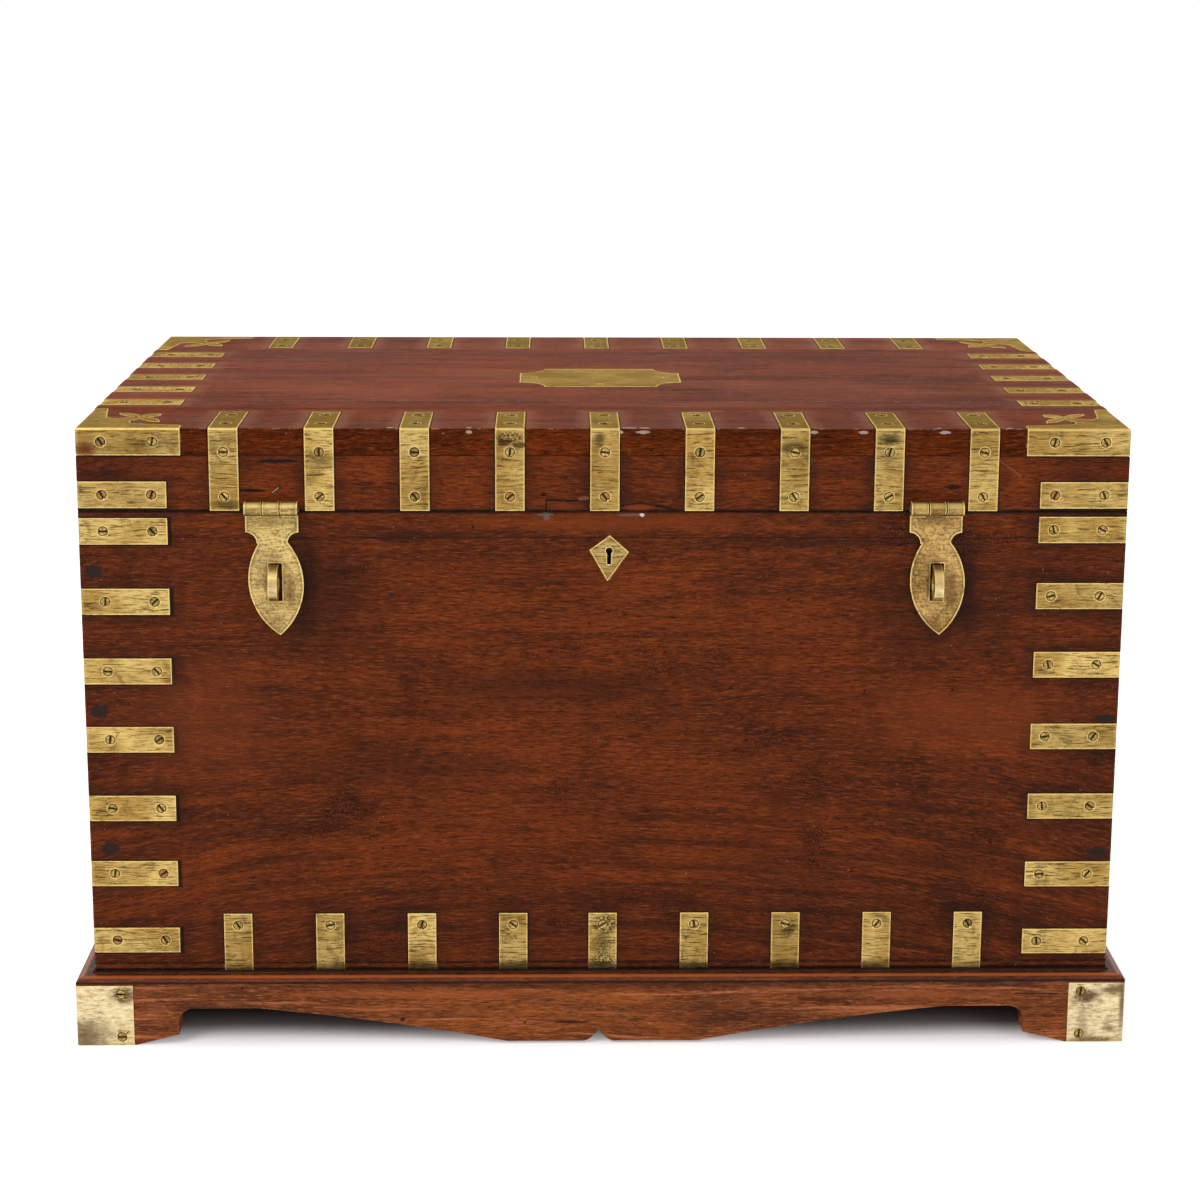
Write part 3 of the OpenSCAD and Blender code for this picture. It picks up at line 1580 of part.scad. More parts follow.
module right_handle_plate() {
  in_frame() brass() difference() {
    translate([end_x, 0, handle_z]) handle_plate_solid();
    place_screws(handle_places(1)) strap_screw_hole();
  }
}

module left_handle_plate() {
  in_frame() brass() difference() {
    mirror([1, 0, 0]) translate([end_x, 0, handle_z]) handle_plate_solid();
    place_screws(handle_places(-1)) strap_screw_hole();
  }
}

module right_handle() {
  in_frame() brass() translate([end_x + handle_pivot_x, 0, handle_z]) handle_solid();
}

module left_handle() {
  in_frame() brass() mirror([1, 0, 0]) translate([end_x + handle_pivot_x, 0, handle_z]) handle_solid();
}

case_front();
case_back();
case_left_end();
case_right_end();
bottom_boards();
plinth_front();
plinth_back();
plinth_left();
plinth_right();
moulding_front();
moulding_back();
moulding_left();
moulding_right();
plinth_ledgers();
plinth_corner_blocks();
plinth_corner_plates();
plinth_plate_screws();
bottom_screws();
ledger_screws();
case_corner_straps();
case_bottom_straps();
case_strap_screws();
left_staple();
right_staple();
staple_nuts();
escutcheon();
lock_case();
lock_selvedge();
lock_bolt();
lock_link_plate();
hinge_case_leaves();
hinge_lid_leaves();
hinge_pins();
case_fitting_screws();
left_handle_plate();
right_handle_plate();
left_handle();
right_handle();
lid_front_plank();
lid_middle_plank();
lid_back_plank();
lid_front_rail();
lid_back_rail();
lid_left_rail();
lid_right_rail();
lid_corner_caps();
lid_corner_straps();
lid_front_straps();
lid_back_straps();
lid_end_straps();
lid_strap_screws();
nameplate();
lid_pins();
lid_fitting_screws();
hasp_leaves();
hasp_pins();
left_hasp();
right_hasp();
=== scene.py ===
import json
import math
import random

import bmesh
import bpy
from bpy.props import FloatProperty, FloatVectorProperty, PointerProperty
from bpy.types import Operator, Panel, PropertyGroup
from mathutils import Matrix, Vector


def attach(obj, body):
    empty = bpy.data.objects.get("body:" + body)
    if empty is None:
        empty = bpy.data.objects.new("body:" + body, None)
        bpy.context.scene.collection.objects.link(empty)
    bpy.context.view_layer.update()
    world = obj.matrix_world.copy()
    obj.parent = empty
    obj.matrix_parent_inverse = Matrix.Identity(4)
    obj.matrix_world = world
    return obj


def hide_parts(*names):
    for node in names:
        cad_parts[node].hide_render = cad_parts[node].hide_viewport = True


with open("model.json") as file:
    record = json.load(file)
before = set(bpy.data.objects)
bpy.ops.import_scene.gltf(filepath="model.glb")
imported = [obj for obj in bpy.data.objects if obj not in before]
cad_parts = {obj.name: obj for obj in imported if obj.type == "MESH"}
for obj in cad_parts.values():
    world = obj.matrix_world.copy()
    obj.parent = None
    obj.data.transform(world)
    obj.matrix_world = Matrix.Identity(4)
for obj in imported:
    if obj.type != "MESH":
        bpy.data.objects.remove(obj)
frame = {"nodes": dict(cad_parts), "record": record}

bl_info = {
    "name": "Brass-bound chest",
    "version": (1, 0, 0),
    "blender": (4, 5, 0),
    "location": "View3D > Sidebar > Chest",
    "description": "Finishes a packed military chest: worn hardwood, old brass and a pale studio",
    "category": "Object",
}

NODES = frame["nodes"]
BODY_OF = {n: body for body, names in frame["record"]["behaviour"]["bodies"].items() for n in names}


def srgb(r, g, b):
    """Linear colour from display values of 0 to 255."""
    def one(v):
        v = v / 255.0
        if v <= 0.04045:
            return v / 12.92
        return ((v + 0.055) / 1.055) ** 2.4
    return (one(r), one(g), one(b))


def times(colour, by):
    """A colour times one number, or times three."""
    by = by if isinstance(by, tuple) else (by, by, by)
    return tuple(a * b for a, b in zip(colour, by))


# Settings shown in the panel
class WoodSettings(PropertyGroup):
    """Colours and figure of the hardwood."""
    dark: FloatVectorProperty(
        name="Dark grain", description="Colour of the dark streaks", subtype="COLOR", default=srgb(40, 16, 7))
    middle: FloatVectorProperty(
        name="Wood", description="Colour of most of the wood", subtype="COLOR", default=srgb(92, 39, 12))
    light: FloatVectorProperty(
        name="Light grain", description="Colour of the light streaks", subtype="COLOR",
        default=srgb(140, 62, 17))
    arches: FloatProperty(
        name="Arches", description="Strength of the arched figure low on the front and back", default=0.45,
        subtype="FACTOR")
    pore: FloatProperty(
        name="Pores", description="Spacing of the fine pores across the grain", default=0.0016, unit="LENGTH")
    bevel: FloatProperty(
        name="Worn edge", description="Radius of the boards' worn edges", default=0.0009, unit="LENGTH")


class BrassSettings(PropertyGroup):
    """Colours and wear of the brass."""
    # The rubbed colour is also that of the painted highlights on rims and bent parts
    bright: FloatVectorProperty(
        name="Rubbed brass", description="Colour where hands have kept it bright", subtype="COLOR",
        default=srgb(214, 184, 112))
    middle: FloatVectorProperty(
        name="Brass", description="Colour of most of the brass", subtype="COLOR", default=srgb(170, 135, 70))
    # Darkened, the tarnish colour is also that of the painted shade in creases and inside rims
    dark: FloatVectorProperty(
        name="Tarnish", description="Colour of the tarnish", subtype="COLOR", default=srgb(56, 38, 18))
    bevel: FloatProperty(
        name="Soft edge", description="Radius of the softened edges", default=0.0005, unit="LENGTH")


class StageSettings(PropertyGroup):
    """Camera, light and floor."""
    focal: FloatProperty(
        name="Focal length", description="Focal length in widths of the picture", default=1.95)
    shift: FloatProperty(
        name="Shift", description="How far the view is moved up, in widths of the picture", default=0.15)
    sky: FloatProperty(
        name="Sky", description="Strength of the even light from all round", default=0.50)
    key: FloatProperty(
        name="Key light", description="Power of the large light at the upper left", default=42.0,
        unit="POWER")
    fill: FloatProperty(
        name="Fill light", description="Power of the light at the front right", default=16.0,
        unit="POWER")


# Shader building
class Graph:
    """Adds nodes to a material and joins them, so that a material reads as a formula."""

    def __init__(self, name):
        self.material = bpy.data.materials.new(name)
        self.material.use_nodes = True
        self.tree = self.material.node_tree
        self.nodes = self.tree.nodes
        self.nodes.clear()
        self.output = self.nodes.new("ShaderNodeOutputMaterial")

    def put(self, socket, value):
        """Joins an output to a socket, or sets a constant on it."""
        if isinstance(value, bpy.types.NodeSocket):
            self.tree.links.new(value, socket)
        elif socket.type == "RGBA" and len(value) == 3:
            socket.default_value = (*value, 1.0)
        else:
            socket.default_value = value

    def step(self, node_type, kind, values):
        """Adds a node of arithmetic with its values in order."""
        n = self.nodes.new(node_type)
        n.operation = kind
        for socket, value in zip(n.inputs, values):
            self.put(socket, value)
        return n

    def math(self, kind, a, b=0.0, c=0.0):
        return self.step("ShaderNodeMath", kind, (a, b, c)).outputs[0]

    def vector(self, kind, *values):
        return self.step("ShaderNodeVectorMath", kind, values)

    def add(self, a, b):
        return self.math("ADD", a, b)

    def sub(self, a, b):
        return self.math("SUBTRACT", a, b)

    def mul(self, a, b):
        return self.math("MULTIPLY", a, b)

    def low(self, a, b):
        return self.math("MINIMUM", a, b)

    def high(self, a, b):
        return self.math("MAXIMUM", a, b)

    def absolute(self, a):
        return self.math("ABSOLUTE", a)

    def ramp(self, value, start, end, to_start=0.0, to_end=1.0, smooth=True):
        """Maps start..end of a value to to_start..to_end."""
        n = self.nodes.new("ShaderNodeMapRange")
        n.interpolation_type = "SMOOTHSTEP" if smooth else "LINEAR"
        for key, v in (("Value", value), ("From Min", start), ("From Max", end),
                       ("To Min", to_start), ("To Max", to_end)):
            self.put(n.inputs[key], v)
        return n.outputs["Result"]

    def mix(self, share, a, b, kind="MIX"):
        n = self.nodes.new("ShaderNodeMix")
        n.data_type = "RGBA"
        n.blend_type = kind
        self.put(n.inputs[0], share)
        self.put(n.inputs[6], a)
        self.put(n.inputs[7], b)
        return n.outputs[2]

    def cover(self, colour, mask, share, paint):
        """Lays a paint over a colour where a mask is high, never thicker than a share."""
        return self.mix(self.mul(mask, share), colour, paint)

    def place(self):
        """Coordinates in the chest's own frame, in metres."""
        return self.nodes.new("ShaderNodeTexCoord").outputs["Object"]

    def rise(self):
        """How far a face looks up: one on a lying face and zero on an upright one."""
        return self.split(self.nodes.new("ShaderNodeTexCoord").outputs["Normal"])[2]

    def openness(self, distance, samples):
        """One in the open, falling in creases narrower than a distance."""
        n = self.nodes.new("ShaderNodeAmbientOcclusion")
        n.samples = samples
        n.inputs["Distance"].default_value = distance
        return n.outputs["AO"]

    def split(self, vector):
        n = self.nodes.new("ShaderNodeSeparateXYZ")
        self.put(n.inputs[0], vector)
        return n.outputs

    def join(self, x, y, z):
        n = self.nodes.new("ShaderNodeCombineXYZ")
        for socket, value in zip(n.inputs, (x, y, z)):
            self.put(socket, value)
        return n.outputs[0]

    def scaled(self, vector, scale, offset=(0.0, 0.0, 0.0)):
        """Stretches the coordinates, then moves them."""
        return self.vector("MULTIPLY_ADD", vector, scale, offset).outputs[0]

    def moved(self, vector, offset):
        return self.scaled(vector, (1.0, 1.0, 1.0), offset)

    def noise(self, vector, scale, detail=4.0, rough=0.55, distortion=0.0):
        n = self.nodes.new("ShaderNodeTexNoise")
        self.put(n.inputs["Vector"], vector)
        n.inputs["Scale"].default_value = scale
        n.inputs["Detail"].default_value = detail
        n.inputs["Roughness"].default_value = rough
        n.inputs["Distortion"].default_value = distortion
        return n.outputs[0]

    def cells(self, vector, scale):
        n = self.nodes.new("ShaderNodeTexVoronoi")
        self.put(n.inputs["Vector"], vector)
        n.inputs["Scale"].default_value = scale
        return n.outputs["Distance"]

    def piece_random(self):
        """A number of its own for each object."""
        return self.nodes.new("ShaderNodeObjectInfo").outputs["Random"]

    def island_random(self):
        """A number of its own for each separate solid of a mesh."""
        n = self.nodes.new("ShaderNodeAttribute")
        n.attribute_name = "own_tone"
        return n.outputs["Fac"]

    def bump(self, height, distance, strength, below=None):
        """Relief from a height, on top of the relief below."""
        n = self.nodes.new("ShaderNodeBump")
        n.inputs["Strength"].default_value = strength
        n.inputs["Distance"].default_value = distance
        self.put(n.inputs["Height"], height)
        if below is not None:
            self.put(n.inputs["Normal"], below)
        return n.outputs[0]

    def surface(self, **values):
        """Ends the material; an underscore stands for a space in a socket's name."""
        n = self.nodes.new("ShaderNodeBsdfPrincipled")
        for key, v in values.items():
            self.put(n.inputs[key.replace("_", " ")], v)
        self.tree.links.new(n.outputs[0], self.output.inputs[0])
        return self.material


def box_distance(g, a, b, middle, half):
    """Distance outside a rectangle in two coordinates; below zero inside it."""
    da = g.sub(g.absolute(g.sub(a, middle[0])), half[0])
    db = g.sub(g.absolute(g.sub(b, middle[1])), half[1])
    return g.high(da, db)


def repeat(g, value, pitch):
    """Folds a coordinate into one pitch about zero."""
    return g.math("WRAP", value, pitch / 2, -pitch / 2)


def blot(g, a, b, middle, radii):
    """Zero at the middle of an oval and one at its edge."""
    da = g.math("DIVIDE", g.sub(a, middle[0]), radii[0])
    db = g.math("DIVIDE", g.sub(b, middle[1]), radii[1])
    return g.math("SQRT", g.add(g.mul(da, da), g.mul(db, db)))


# Tint of the reflections that graze the brass
GLINT = (0.62, 0.52, 0.34)

# Sizes of the chest that the finishes follow, in metres
HALF_W = 0.457
HALF_D = 0.254
MIDDLE = 0.00435
SPLIT = 0.490
PLANK_JOINT = 0.5395
TOP = 0.5635
# Straps: half their widths, their spacing, how far their legs reach, and the end of their rows
STRAP_HALF = 0.0127
ROW_HALF = 0.01175
STRAP_PITCH = 0.0825
END_PITCH = 0.0665
ROW_PITCH = 0.0633
ROW_DROP = 0.018
LID_ROW = 0.5045
CORNER_LEG = 0.077
LID_LEG = 0.074
BACK_LEG = 0.060
FOOT_STRAP_TOP = 0.119
LAST_ACROSS = 0.345
LAST_ALONG = 0.147
# Corner caps: half the length and height of a flange, and half the side of the leaf on the top
CAP_FLANGE = (0.045, 0.012)
CAP_LEAF = 0.022
# Heights of the dark lines on the case, the plinth and the moulding, and of the moulding's painted highlight
BOTTOM_EDGE = 0.072
CASE_FOOT = 0.0660
SUNK_LINE = 0.4665
PLINTH_TOP = 0.0588
# The moulding's upper dark line is painted shade in its fillet
MOULDING_LINES = (0.0594, 0.0648)
MOULDING_HIGHLIGHT = 0.0631
# Height from ring to ring of the arched figure
RING_PITCH = 0.021
# Seams between the lid's planks, from the front, and how dark they are
PLANK_SEAMS = ((-0.125, 0.6), (0.175, 0.5))
# Half the length and depth of the plinth
PLINTH_HALF = (0.472, 0.269)
# The hasps' pins, and half the width of their middle knuckles
HASP_X = 0.289
HASP_Z = 0.494
KNUCKLE_HALF = 0.00767
# Worn line along the front edge of the top, and the height of the scuffs below that edge
EDGE_Y = -0.2468
EDGE_Z = 0.5603
# How far the four bottom straps on the left stand to the right of their places
LEFT_SHIFT = 0.0024
# How much higher each row of corner straps stands at the case's four corners, from the top down
LEVEL = (0.0,) * 7
LEFT_ROWS = (0.0, 0.0, 0.0, 0.0005, 0.0, 0.0020, 0.0020)
RIGHT_ROWS = (0.0015, 0.0050, 0.0055, 0.0025, 0.0005, -0.0005, -0.0015)
CASE_ROWS = {"front": (LEFT_ROWS, RIGHT_ROWS), "back": (LEVEL, LEVEL),
             "left_end": (LEFT_ROWS, LEVEL), "right_end": (RIGHT_ROWS, LEVEL)}


def row_field(g, z, shifts):
    """Distance in height to the nearest row of corner straps on the case."""
    nearest = 1.0
    for i, shift in enumerate(shifts):
        level = SPLIT - ROW_DROP - i * ROW_PITCH + shift
        nearest = g.low(g.absolute(g.sub(z, level)), nearest)
    return g.sub(nearest, ROW_HALF)


def strap_field(g, place, region):
    """Distance from a point on the wood to the nearest brass, for one region of the chest."""
    x, y, z = place
    if region == "front":
        # The shift ends halfway between the fourth strap and the middle one
        x = g.sub(x, g.ramp(x, -0.041, -0.040, LEFT_SHIFT, 0.0))
    y = g.sub(y, MIDDLE)
    ax = g.absolute(x)
    ay = g.absolute(y)
    across = g.high(g.sub(g.absolute(repeat(g, x, STRAP_PITCH)), STRAP_HALF), g.sub(ax, LAST_ACROSS))
    along = g.high(g.sub(g.absolute(repeat(g, y, END_PITCH)), STRAP_HALF), g.sub(ay, LAST_ALONG))
    where, reach, half, strap = x, ax, HALF_W, across
    if region in ("left_end", "right_end", "end_rail"):
        where, reach, half, strap = y, ay, HALF_D, along
    if region in CASE_ROWS:
        first, second = (row_field(g, z, shifts) for shifts in CASE_ROWS[region])
        first = g.high(first, g.add(where, half - CORNER_LEG))
        second = g.high(second, g.sub(half - CORNER_LEG, where))
        return g.low(g.low(first, second), g.high(strap, g.sub(z, FOOT_STRAP_TOP)))
    if region in ("rail", "back_rail", "end_rail"):
        if region == "back_rail":
            strap = g.high(strap, g.sub(TOP - BACK_LEG, z))
        row = box_distance(g, reach, z, (half - CORNER_LEG / 2, LID_ROW), (CORNER_LEG / 2, ROW_HALF))
        flange = box_distance(g, reach, z, (half - CAP_FLANGE[0], TOP - CAP_FLANGE[1]), CAP_FLANGE)
        return g.low(g.low(strap, row), flange)
    strap = g.high(across, g.sub(HALF_D - LID_LEG, ay))
    ends = g.high(along, g.sub(HALF_W - LID_LEG, ax))
    leaf = box_distance(g, ax, ay, (HALF_W - CAP_LEAF, HALF_D - CAP_LEAF), (CAP_LEAF, CAP_LEAF))
    return g.low(g.low(strap, ends), leaf)


def outer_faces(g, place):
    """One within 2 mm of the chest's outer faces and zero from 4 mm inside them."""
    x, y, z = place
    depth = g.high(g.sub(g.absolute(x), HALF_W), g.sub(g.absolute(g.sub(y, MIDDLE)), HALF_D))
    return g.ramp(g.high(depth, g.sub(z, TOP)), -0.0042, -0.0022)


def along_grain(across, along, grain):
    """Scales for noise: one number along the grain and one across it."""
    return {"X": (along, across, across), "Y": (across, along, across), "Z": (across, across, along)}[grain]


def drawn_out(g, vector, across, along, grain, detail, rough=0.55):
    """Noise that is drawn out along the grain."""
    return g.noise(g.scaled(vector, along_grain(across, along, grain)), 1.0, detail, rough)


def bend(g, vector, field, amount, grain):
    """Moves a position sideways to the grain by a field."""
    shift = g.mul(g.sub(field, 0.5), amount)
    return g.vector("ADD", vector, g.join(*(0.0 if a == grain else shift for a in "XYZ"))).outputs[0]


def near_edge(g, radius, samples=4, start=0.995, full=0.80):
    """Zero on the flat, rising to one at a corner of the piece."""
    bevel = g.nodes.new("ShaderNodeBevel")
    bevel.samples = samples
    bevel.inputs["Radius"].default_value = radius
    true = g.nodes.new("ShaderNodeNewGeometry").outputs["True Normal"]
    turned = g.vector("DOT_PRODUCT", bevel.outputs[0], true).outputs["Value"]
    return g.ramp(turned, start, full)


def slash_distance(g, a, b, first, last):
    """Distance to a straight scratch between two points in two coordinates."""
    run = (last[0] - first[0], last[1] - first[1])
    length = math.hypot(*run)
    run = (run[0] / length, run[1] / length)
    da = g.sub(a, first[0])
    db = g.sub(b, first[1])
    along = g.add(g.mul(da, run[0]), g.mul(db, run[1]))
    past = g.high(g.sub(0.0, along), g.sub(along, length))
    across = g.absolute(g.sub(g.mul(da, run[1]), g.mul(db, run[0])))
    return g.high(past, across)


def painted(g, colour, place, marks):
    """Paints spots, stains, patches and scratches, each from its place in two coordinates."""
    if not marks:
        return colour
    axes = dict(zip("xyz", g.split(place)))
    ragged = g.sub(g.noise(place, 260.0, 4.0, 0.75), 0.5)
    cloudy = g.sub(g.noise(place, 38.0, 4.0, 0.65), 0.5)
    for kind, (a, b), middle, radii, shade, share in marks:
        a, b = axes[a], axes[b]
        if kind == "box":
            edge = g.add(box_distance(g, a, b, middle, radii), g.mul(ragged, min(0.0016, min(radii))))
            mask = g.ramp(edge, 0.0003, -0.0003)
        elif kind == "frame":
            edge = g.add(box_distance(g, a, b, middle, radii), g.mul(cloudy, 0.0014))
            edge = g.add(g.absolute(edge), g.mul(ragged, 0.0018))
            mask = g.ramp(edge, 0.0013, 0.0005)
        elif kind == "slash":
            edge = g.add(slash_distance(g, a, b, middle, radii[:2]), g.mul(ragged, 1.8 * radii[2]))
            mask = g.ramp(edge, radii[2], 0.3 * radii[2])
        elif kind == "soft":
            edge = g.add(blot(g, a, b, middle, radii), g.mul(cloudy, 1.6))
            mask = g.ramp(edge, 1.25, 0.20)
        elif kind == "rot":
            edge = g.add(blot(g, a, b, middle, radii), g.mul(ragged, 0.8))
            mask = g.mul(g.ramp(edge, 1.20, 0.70), g.ramp(g.noise(place, 520.0, 4.0, 0.75), 0.46, 0.54))
        else:
            edge = g.add(blot(g, a, b, middle, radii), g.mul(ragged, 1.7))
            mask = g.ramp(edge, 1.10, 0.80)
        colour = g.cover(colour, mask, share, shade)
    return colour


def tinted(g, colour, tone):
    """Multiplies a colour by a tone that differs a little from board to board."""
    own = g.vector("SCALE", tone)
    g.put(own.inputs["Scale"], g.ramp(g.piece_random(), 0.0, 1.0, 0.94, 1.06, smooth=False))
    return g.mix(1.0, colour, own.outputs[0], "MULTIPLY")


def crazed(g, colour, place, wood, share):
    """Crazed old polish, in patches: dark cracks and lighter islands between them."""
    patch = g.ramp(g.noise(g.scaled(place, (1.0, 1.0, 2.0), (0.3, 0.0, 0.9)), 7.5, 4.0, 0.7), 0.54, 0.68)
    grid = g.nodes.new("ShaderNodeTexVoronoi")
    grid.feature = "DISTANCE_TO_EDGE"
    g.put(grid.inputs["Vector"], place)
    grid.inputs["Scale"].default_value = 420.0
    lines = g.ramp(grid.outputs["Distance"], 0.16, 0.04)
    colour = g.cover(colour, g.mul(lines, patch), share, times(wood.dark, 0.25))
    islands = g.mul(g.ramp(grid.outputs["Distance"], 0.34, 0.46), patch)
    return g.cover(colour, islands, 0.6 * share, wood.light)


def dried_lid(g, colour, place, bent, wood, share):
    """Dry and scratched planks, worn by rubbing; their edges keep the colour of the rails."""
    top = g.ramp(g.rise(), 0.3, 0.8)
    colour = g.mix(1.0, colour, g.mix(top, (0.80, 0.86, 1.02), (1.0, 1.0, 1.0)), "MULTIPLY")
    pale = g.ramp(drawn_out(g, bent, 14.0, 2.4, "X", 5.0, 0.65), 0.44, 0.72)
    colour = g.cover(colour, g.mul(pale, top), share, srgb(160, 88, 52))
    scratch = g.noise(g.scaled(place, (9.0, 260.0, 260.0)), 1.0, 4.0, 0.6)
    scratch = g.mul(g.ramp(scratch, 0.62, 0.70), g.ramp(g.split(place)[2], TOP - 0.003, TOP - 0.001))
    colour = g.cover(colour, scratch, 0.32, srgb(180, 134, 112))
    orange = g.noise(g.scaled(place, (2.2, 70.0, 70.0), (0.0, 0.4, 0.0)), 1.0, 3.0, 0.6)
    colour = g.cover(colour, g.mul(g.ramp(orange, 0.58, 0.70), top), 0.45, srgb(150, 66, 26))
    dry = g.noise(g.scaled(place, (3.0, 150.0, 150.0), (0.6, 0.1, 0.0)), 1.0, 4.0, 0.6)
    return g.cover(colour, g.ramp(dry, 0.58, 0.68), 0.55, wood.dark)


def dirt_and_gap_shade(g, colour, field, coarse, cloud, on_top):
    """Old polish and dirt: a stain that is pale on the top, and a thin black line round each inlay for dirt
    and painted shade.
    """
    ragged = g.sub(field, g.mul(g.sub(coarse, 0.45), 0.012))
    stain = g.mul(g.ramp(ragged, 0.016, 0.0), g.ramp(cloud, 0.34, 0.62, 0.30, 1.0))
    if on_top:
        colour = g.cover(colour, g.mul(stain, g.ramp(g.rise(), 0.3, 0.8)), 0.28, srgb(172, 116, 90))
    else:
        colour = g.cover(colour, stain, 0.60, srgb(34, 15, 8))
    # The black line is dirt and painted shade in the narrow space round the brass
    line = g.sub(field, g.mul(g.sub(coarse, 0.50), 0.0016))
    return g.cover(colour, g.ramp(line, 0.0019, 0.0006), 0.85, srgb(16, 9, 6))


def wood_material(name, wood, grain="X", region=None, tone=(1.0, 1.0, 1.0), rough=0.46, gloss=0.08,
                  marks=(), dark_lines=(), arches=0.0, crackle=0.0, bleach=0.0, chips=0.6, streaks=0.0):
    """Red-brown hardwood with hair lines, pores, soft figure, stains, and dirt and painted shade beside the
    brass.
    """
    g = Graph(name)
    place = g.place()
    x, y, z = g.split(place)
    own = g.mul(g.piece_random(), 7.0)
    grown = place
    if arches:
        # Low on the board the grain climbs to the middle in flat arches
        side = g.add(x, 0.03)
        lift = g.mul(g.mul(side, side), g.ramp(z, 0.36, 0.12, 0.0, 0.26))
        grown = g.join(x, y, g.add(z, lift))
    shifted = g.moved(grown, own)
    # Slow waves bend the grain, so that it is never quite straight
    sway = drawn_out(g, shifted, 3.2, 1.1, grain, 2.0)
    bent = bend(g, shifted, sway, 0.060, grain)
    ripple = drawn_out(g, shifted, 26.0, 9.0, grain, 2.0)
    bent = bend(g, bent, ripple, 0.0045, grain)
    tone_wide = drawn_out(g, bent, 9.0, 1.6, grain, 3.0, 0.5)
    tone_mid = drawn_out(g, bent, 85.0, 9.0, grain, 4.0, 0.60)
    hair = drawn_out(g, bent, 880.0, 95.0, grain, 4.0, 0.72)
    long_line = drawn_out(g, bent, 520.0, 9.0, grain, 3.0, 0.60)
    pores = drawn_out(g, bent, 1.5 / wood.pore, 150.0, grain, 1.0, 0.5)
    cloud = g.noise(shifted, 8.0, 5.0, 0.62, 0.4)
    # The colour goes from the board's widest tones to its hair lines
    amber = tuple(0.5 * (a + b) for a, b in zip(wood.middle, wood.light))
    colour = g.mix(g.ramp(tone_wide, 0.38, 0.64), wood.middle, amber)
    colour = g.cover(colour, g.ramp(tone_mid, 0.48, 0.66), 0.38, wood.dark)
    colour = g.cover(colour, g.ramp(tone_mid, 0.46, 0.32), 0.50, wood.light)
    colour = g.cover(colour, g.ramp(cloud, 0.47, 0.70), 0.40, wood.dark)
    colour = g.cover(colour, g.ramp(hair, 0.50, 0.37), 0.66, wood.dark)
    colour = g.cover(colour, g.ramp(hair, 0.52, 0.66), 0.62, srgb(152, 75, 38))
    colour = g.cover(colour, g.ramp(long_line, 0.55, 0.66), 0.42, wood.dark)
    colour = g.cover(colour, g.ramp(long_line, 0.42, 0.32), 0.22, wood.light)
    if arches:
        rings = g.math("SINE", g.add(g.mul(g.add(z, lift), 2 * math.pi / RING_PITCH), g.mul(tone_wide, 16.0)))
        fade = g.mul(g.ramp(z, 0.30, 0.18), g.ramp(g.noise(place, 5.0, 3.0), 0.44, 0.62))
        colour = g.cover(colour, g.mul(g.ramp(rings, 0.30, 1.0), fade), arches, wood.dark)
    if streaks:
        # Bright reddish streaks where the polish has worn thin
        bright = drawn_out(g, bent, 120.0, 5.0, grain, 4.0, 0.6)
        colour = g.cover(colour, g.ramp(bright, 0.54, 0.68), streaks, srgb(168, 84, 42))
    colour = g.cover(colour, g.ramp(pores, 0.58, 0.68), 0.50, times(wood.dark, 0.35))
    colour = tinted(g, colour, tone)
    coarse = g.noise(place, 75.0, 4.0, 0.7)
    if crackle:
        colour = crazed(g, colour, place, wood, crackle)
    if bleach:
        colour = dried_lid(g, colour, place, bent, wood, bleach)
    if chips:
        # The joint between planks and rails is tight and has kept its edges
        edge = g.mul(near_edge(g, 0.0024), g.ramp(g.absolute(g.sub(z, PLANK_JOINT)), 0.003, 0.006))
        worn = g.ramp(g.add(g.noise(place, 95.0, 4.0, 0.75), g.mul(edge, 0.10)), 0.62, 0.70)
        colour = g.cover(colour, edge, 0.35, wood.light)
        colour = g.cover(colour, g.mul(edge, worn), chips, srgb(206, 170, 142))
    plain = colour
    if region:
        field = strap_field(g, (x, y, z), region)
        colour = dirt_and_gap_shade(g, colour, field, coarse, cloud, region == "top")
    # Each dark line has an axis, a place on it, half its width and a strength; some are joints, some painted
    # shade
    for axis, at, half, share in dark_lines:
        line = g.absolute(g.sub({"x": x, "y": y, "z": z}[axis], at))
        line = g.add(line, g.mul(g.sub(coarse, 0.5), 1.6 * half))
        colour = g.cover(colour, g.ramp(line, 2.0 * half, 0.6 * half), share, srgb(14, 8, 6))
    colour = painted(g, colour, place, marks)
    colour = g.mix(outer_faces(g, (x, y, z)), plain, colour)
    specks = g.noise(place, 330.0, 1.0, 0.5)
    colour = g.cover(colour, g.ramp(specks, 0.785, 0.83), 0.60, srgb(178, 128, 98))
    dents = g.noise(g.moved(place, (3.1, 1.7, 0.4)), 150.0, 1.0, 0.5)
    colour = g.cover(colour, g.ramp(dents, 0.785, 0.82), 0.75, srgb(18, 11, 8))
    polish = g.add(rough, g.mul(g.sub(cloud, 0.5), 0.20))
    polish = g.add(polish, g.mul(g.sub(hair, 0.5), 0.25))
    height = g.sub(g.mul(hair, 0.6), g.mul(g.ramp(pores, 0.60, 0.70), 0.9))
    normal = g.bump(height, 0.0003, 0.45)
    normal = g.bump(g.add(tone_mid, g.mul(coarse, 0.25)), 0.003, 0.10, normal)
    return g.surface(Base_Color=colour, Roughness=polish, Normal=normal, Specular_IOR_Level=gloss)


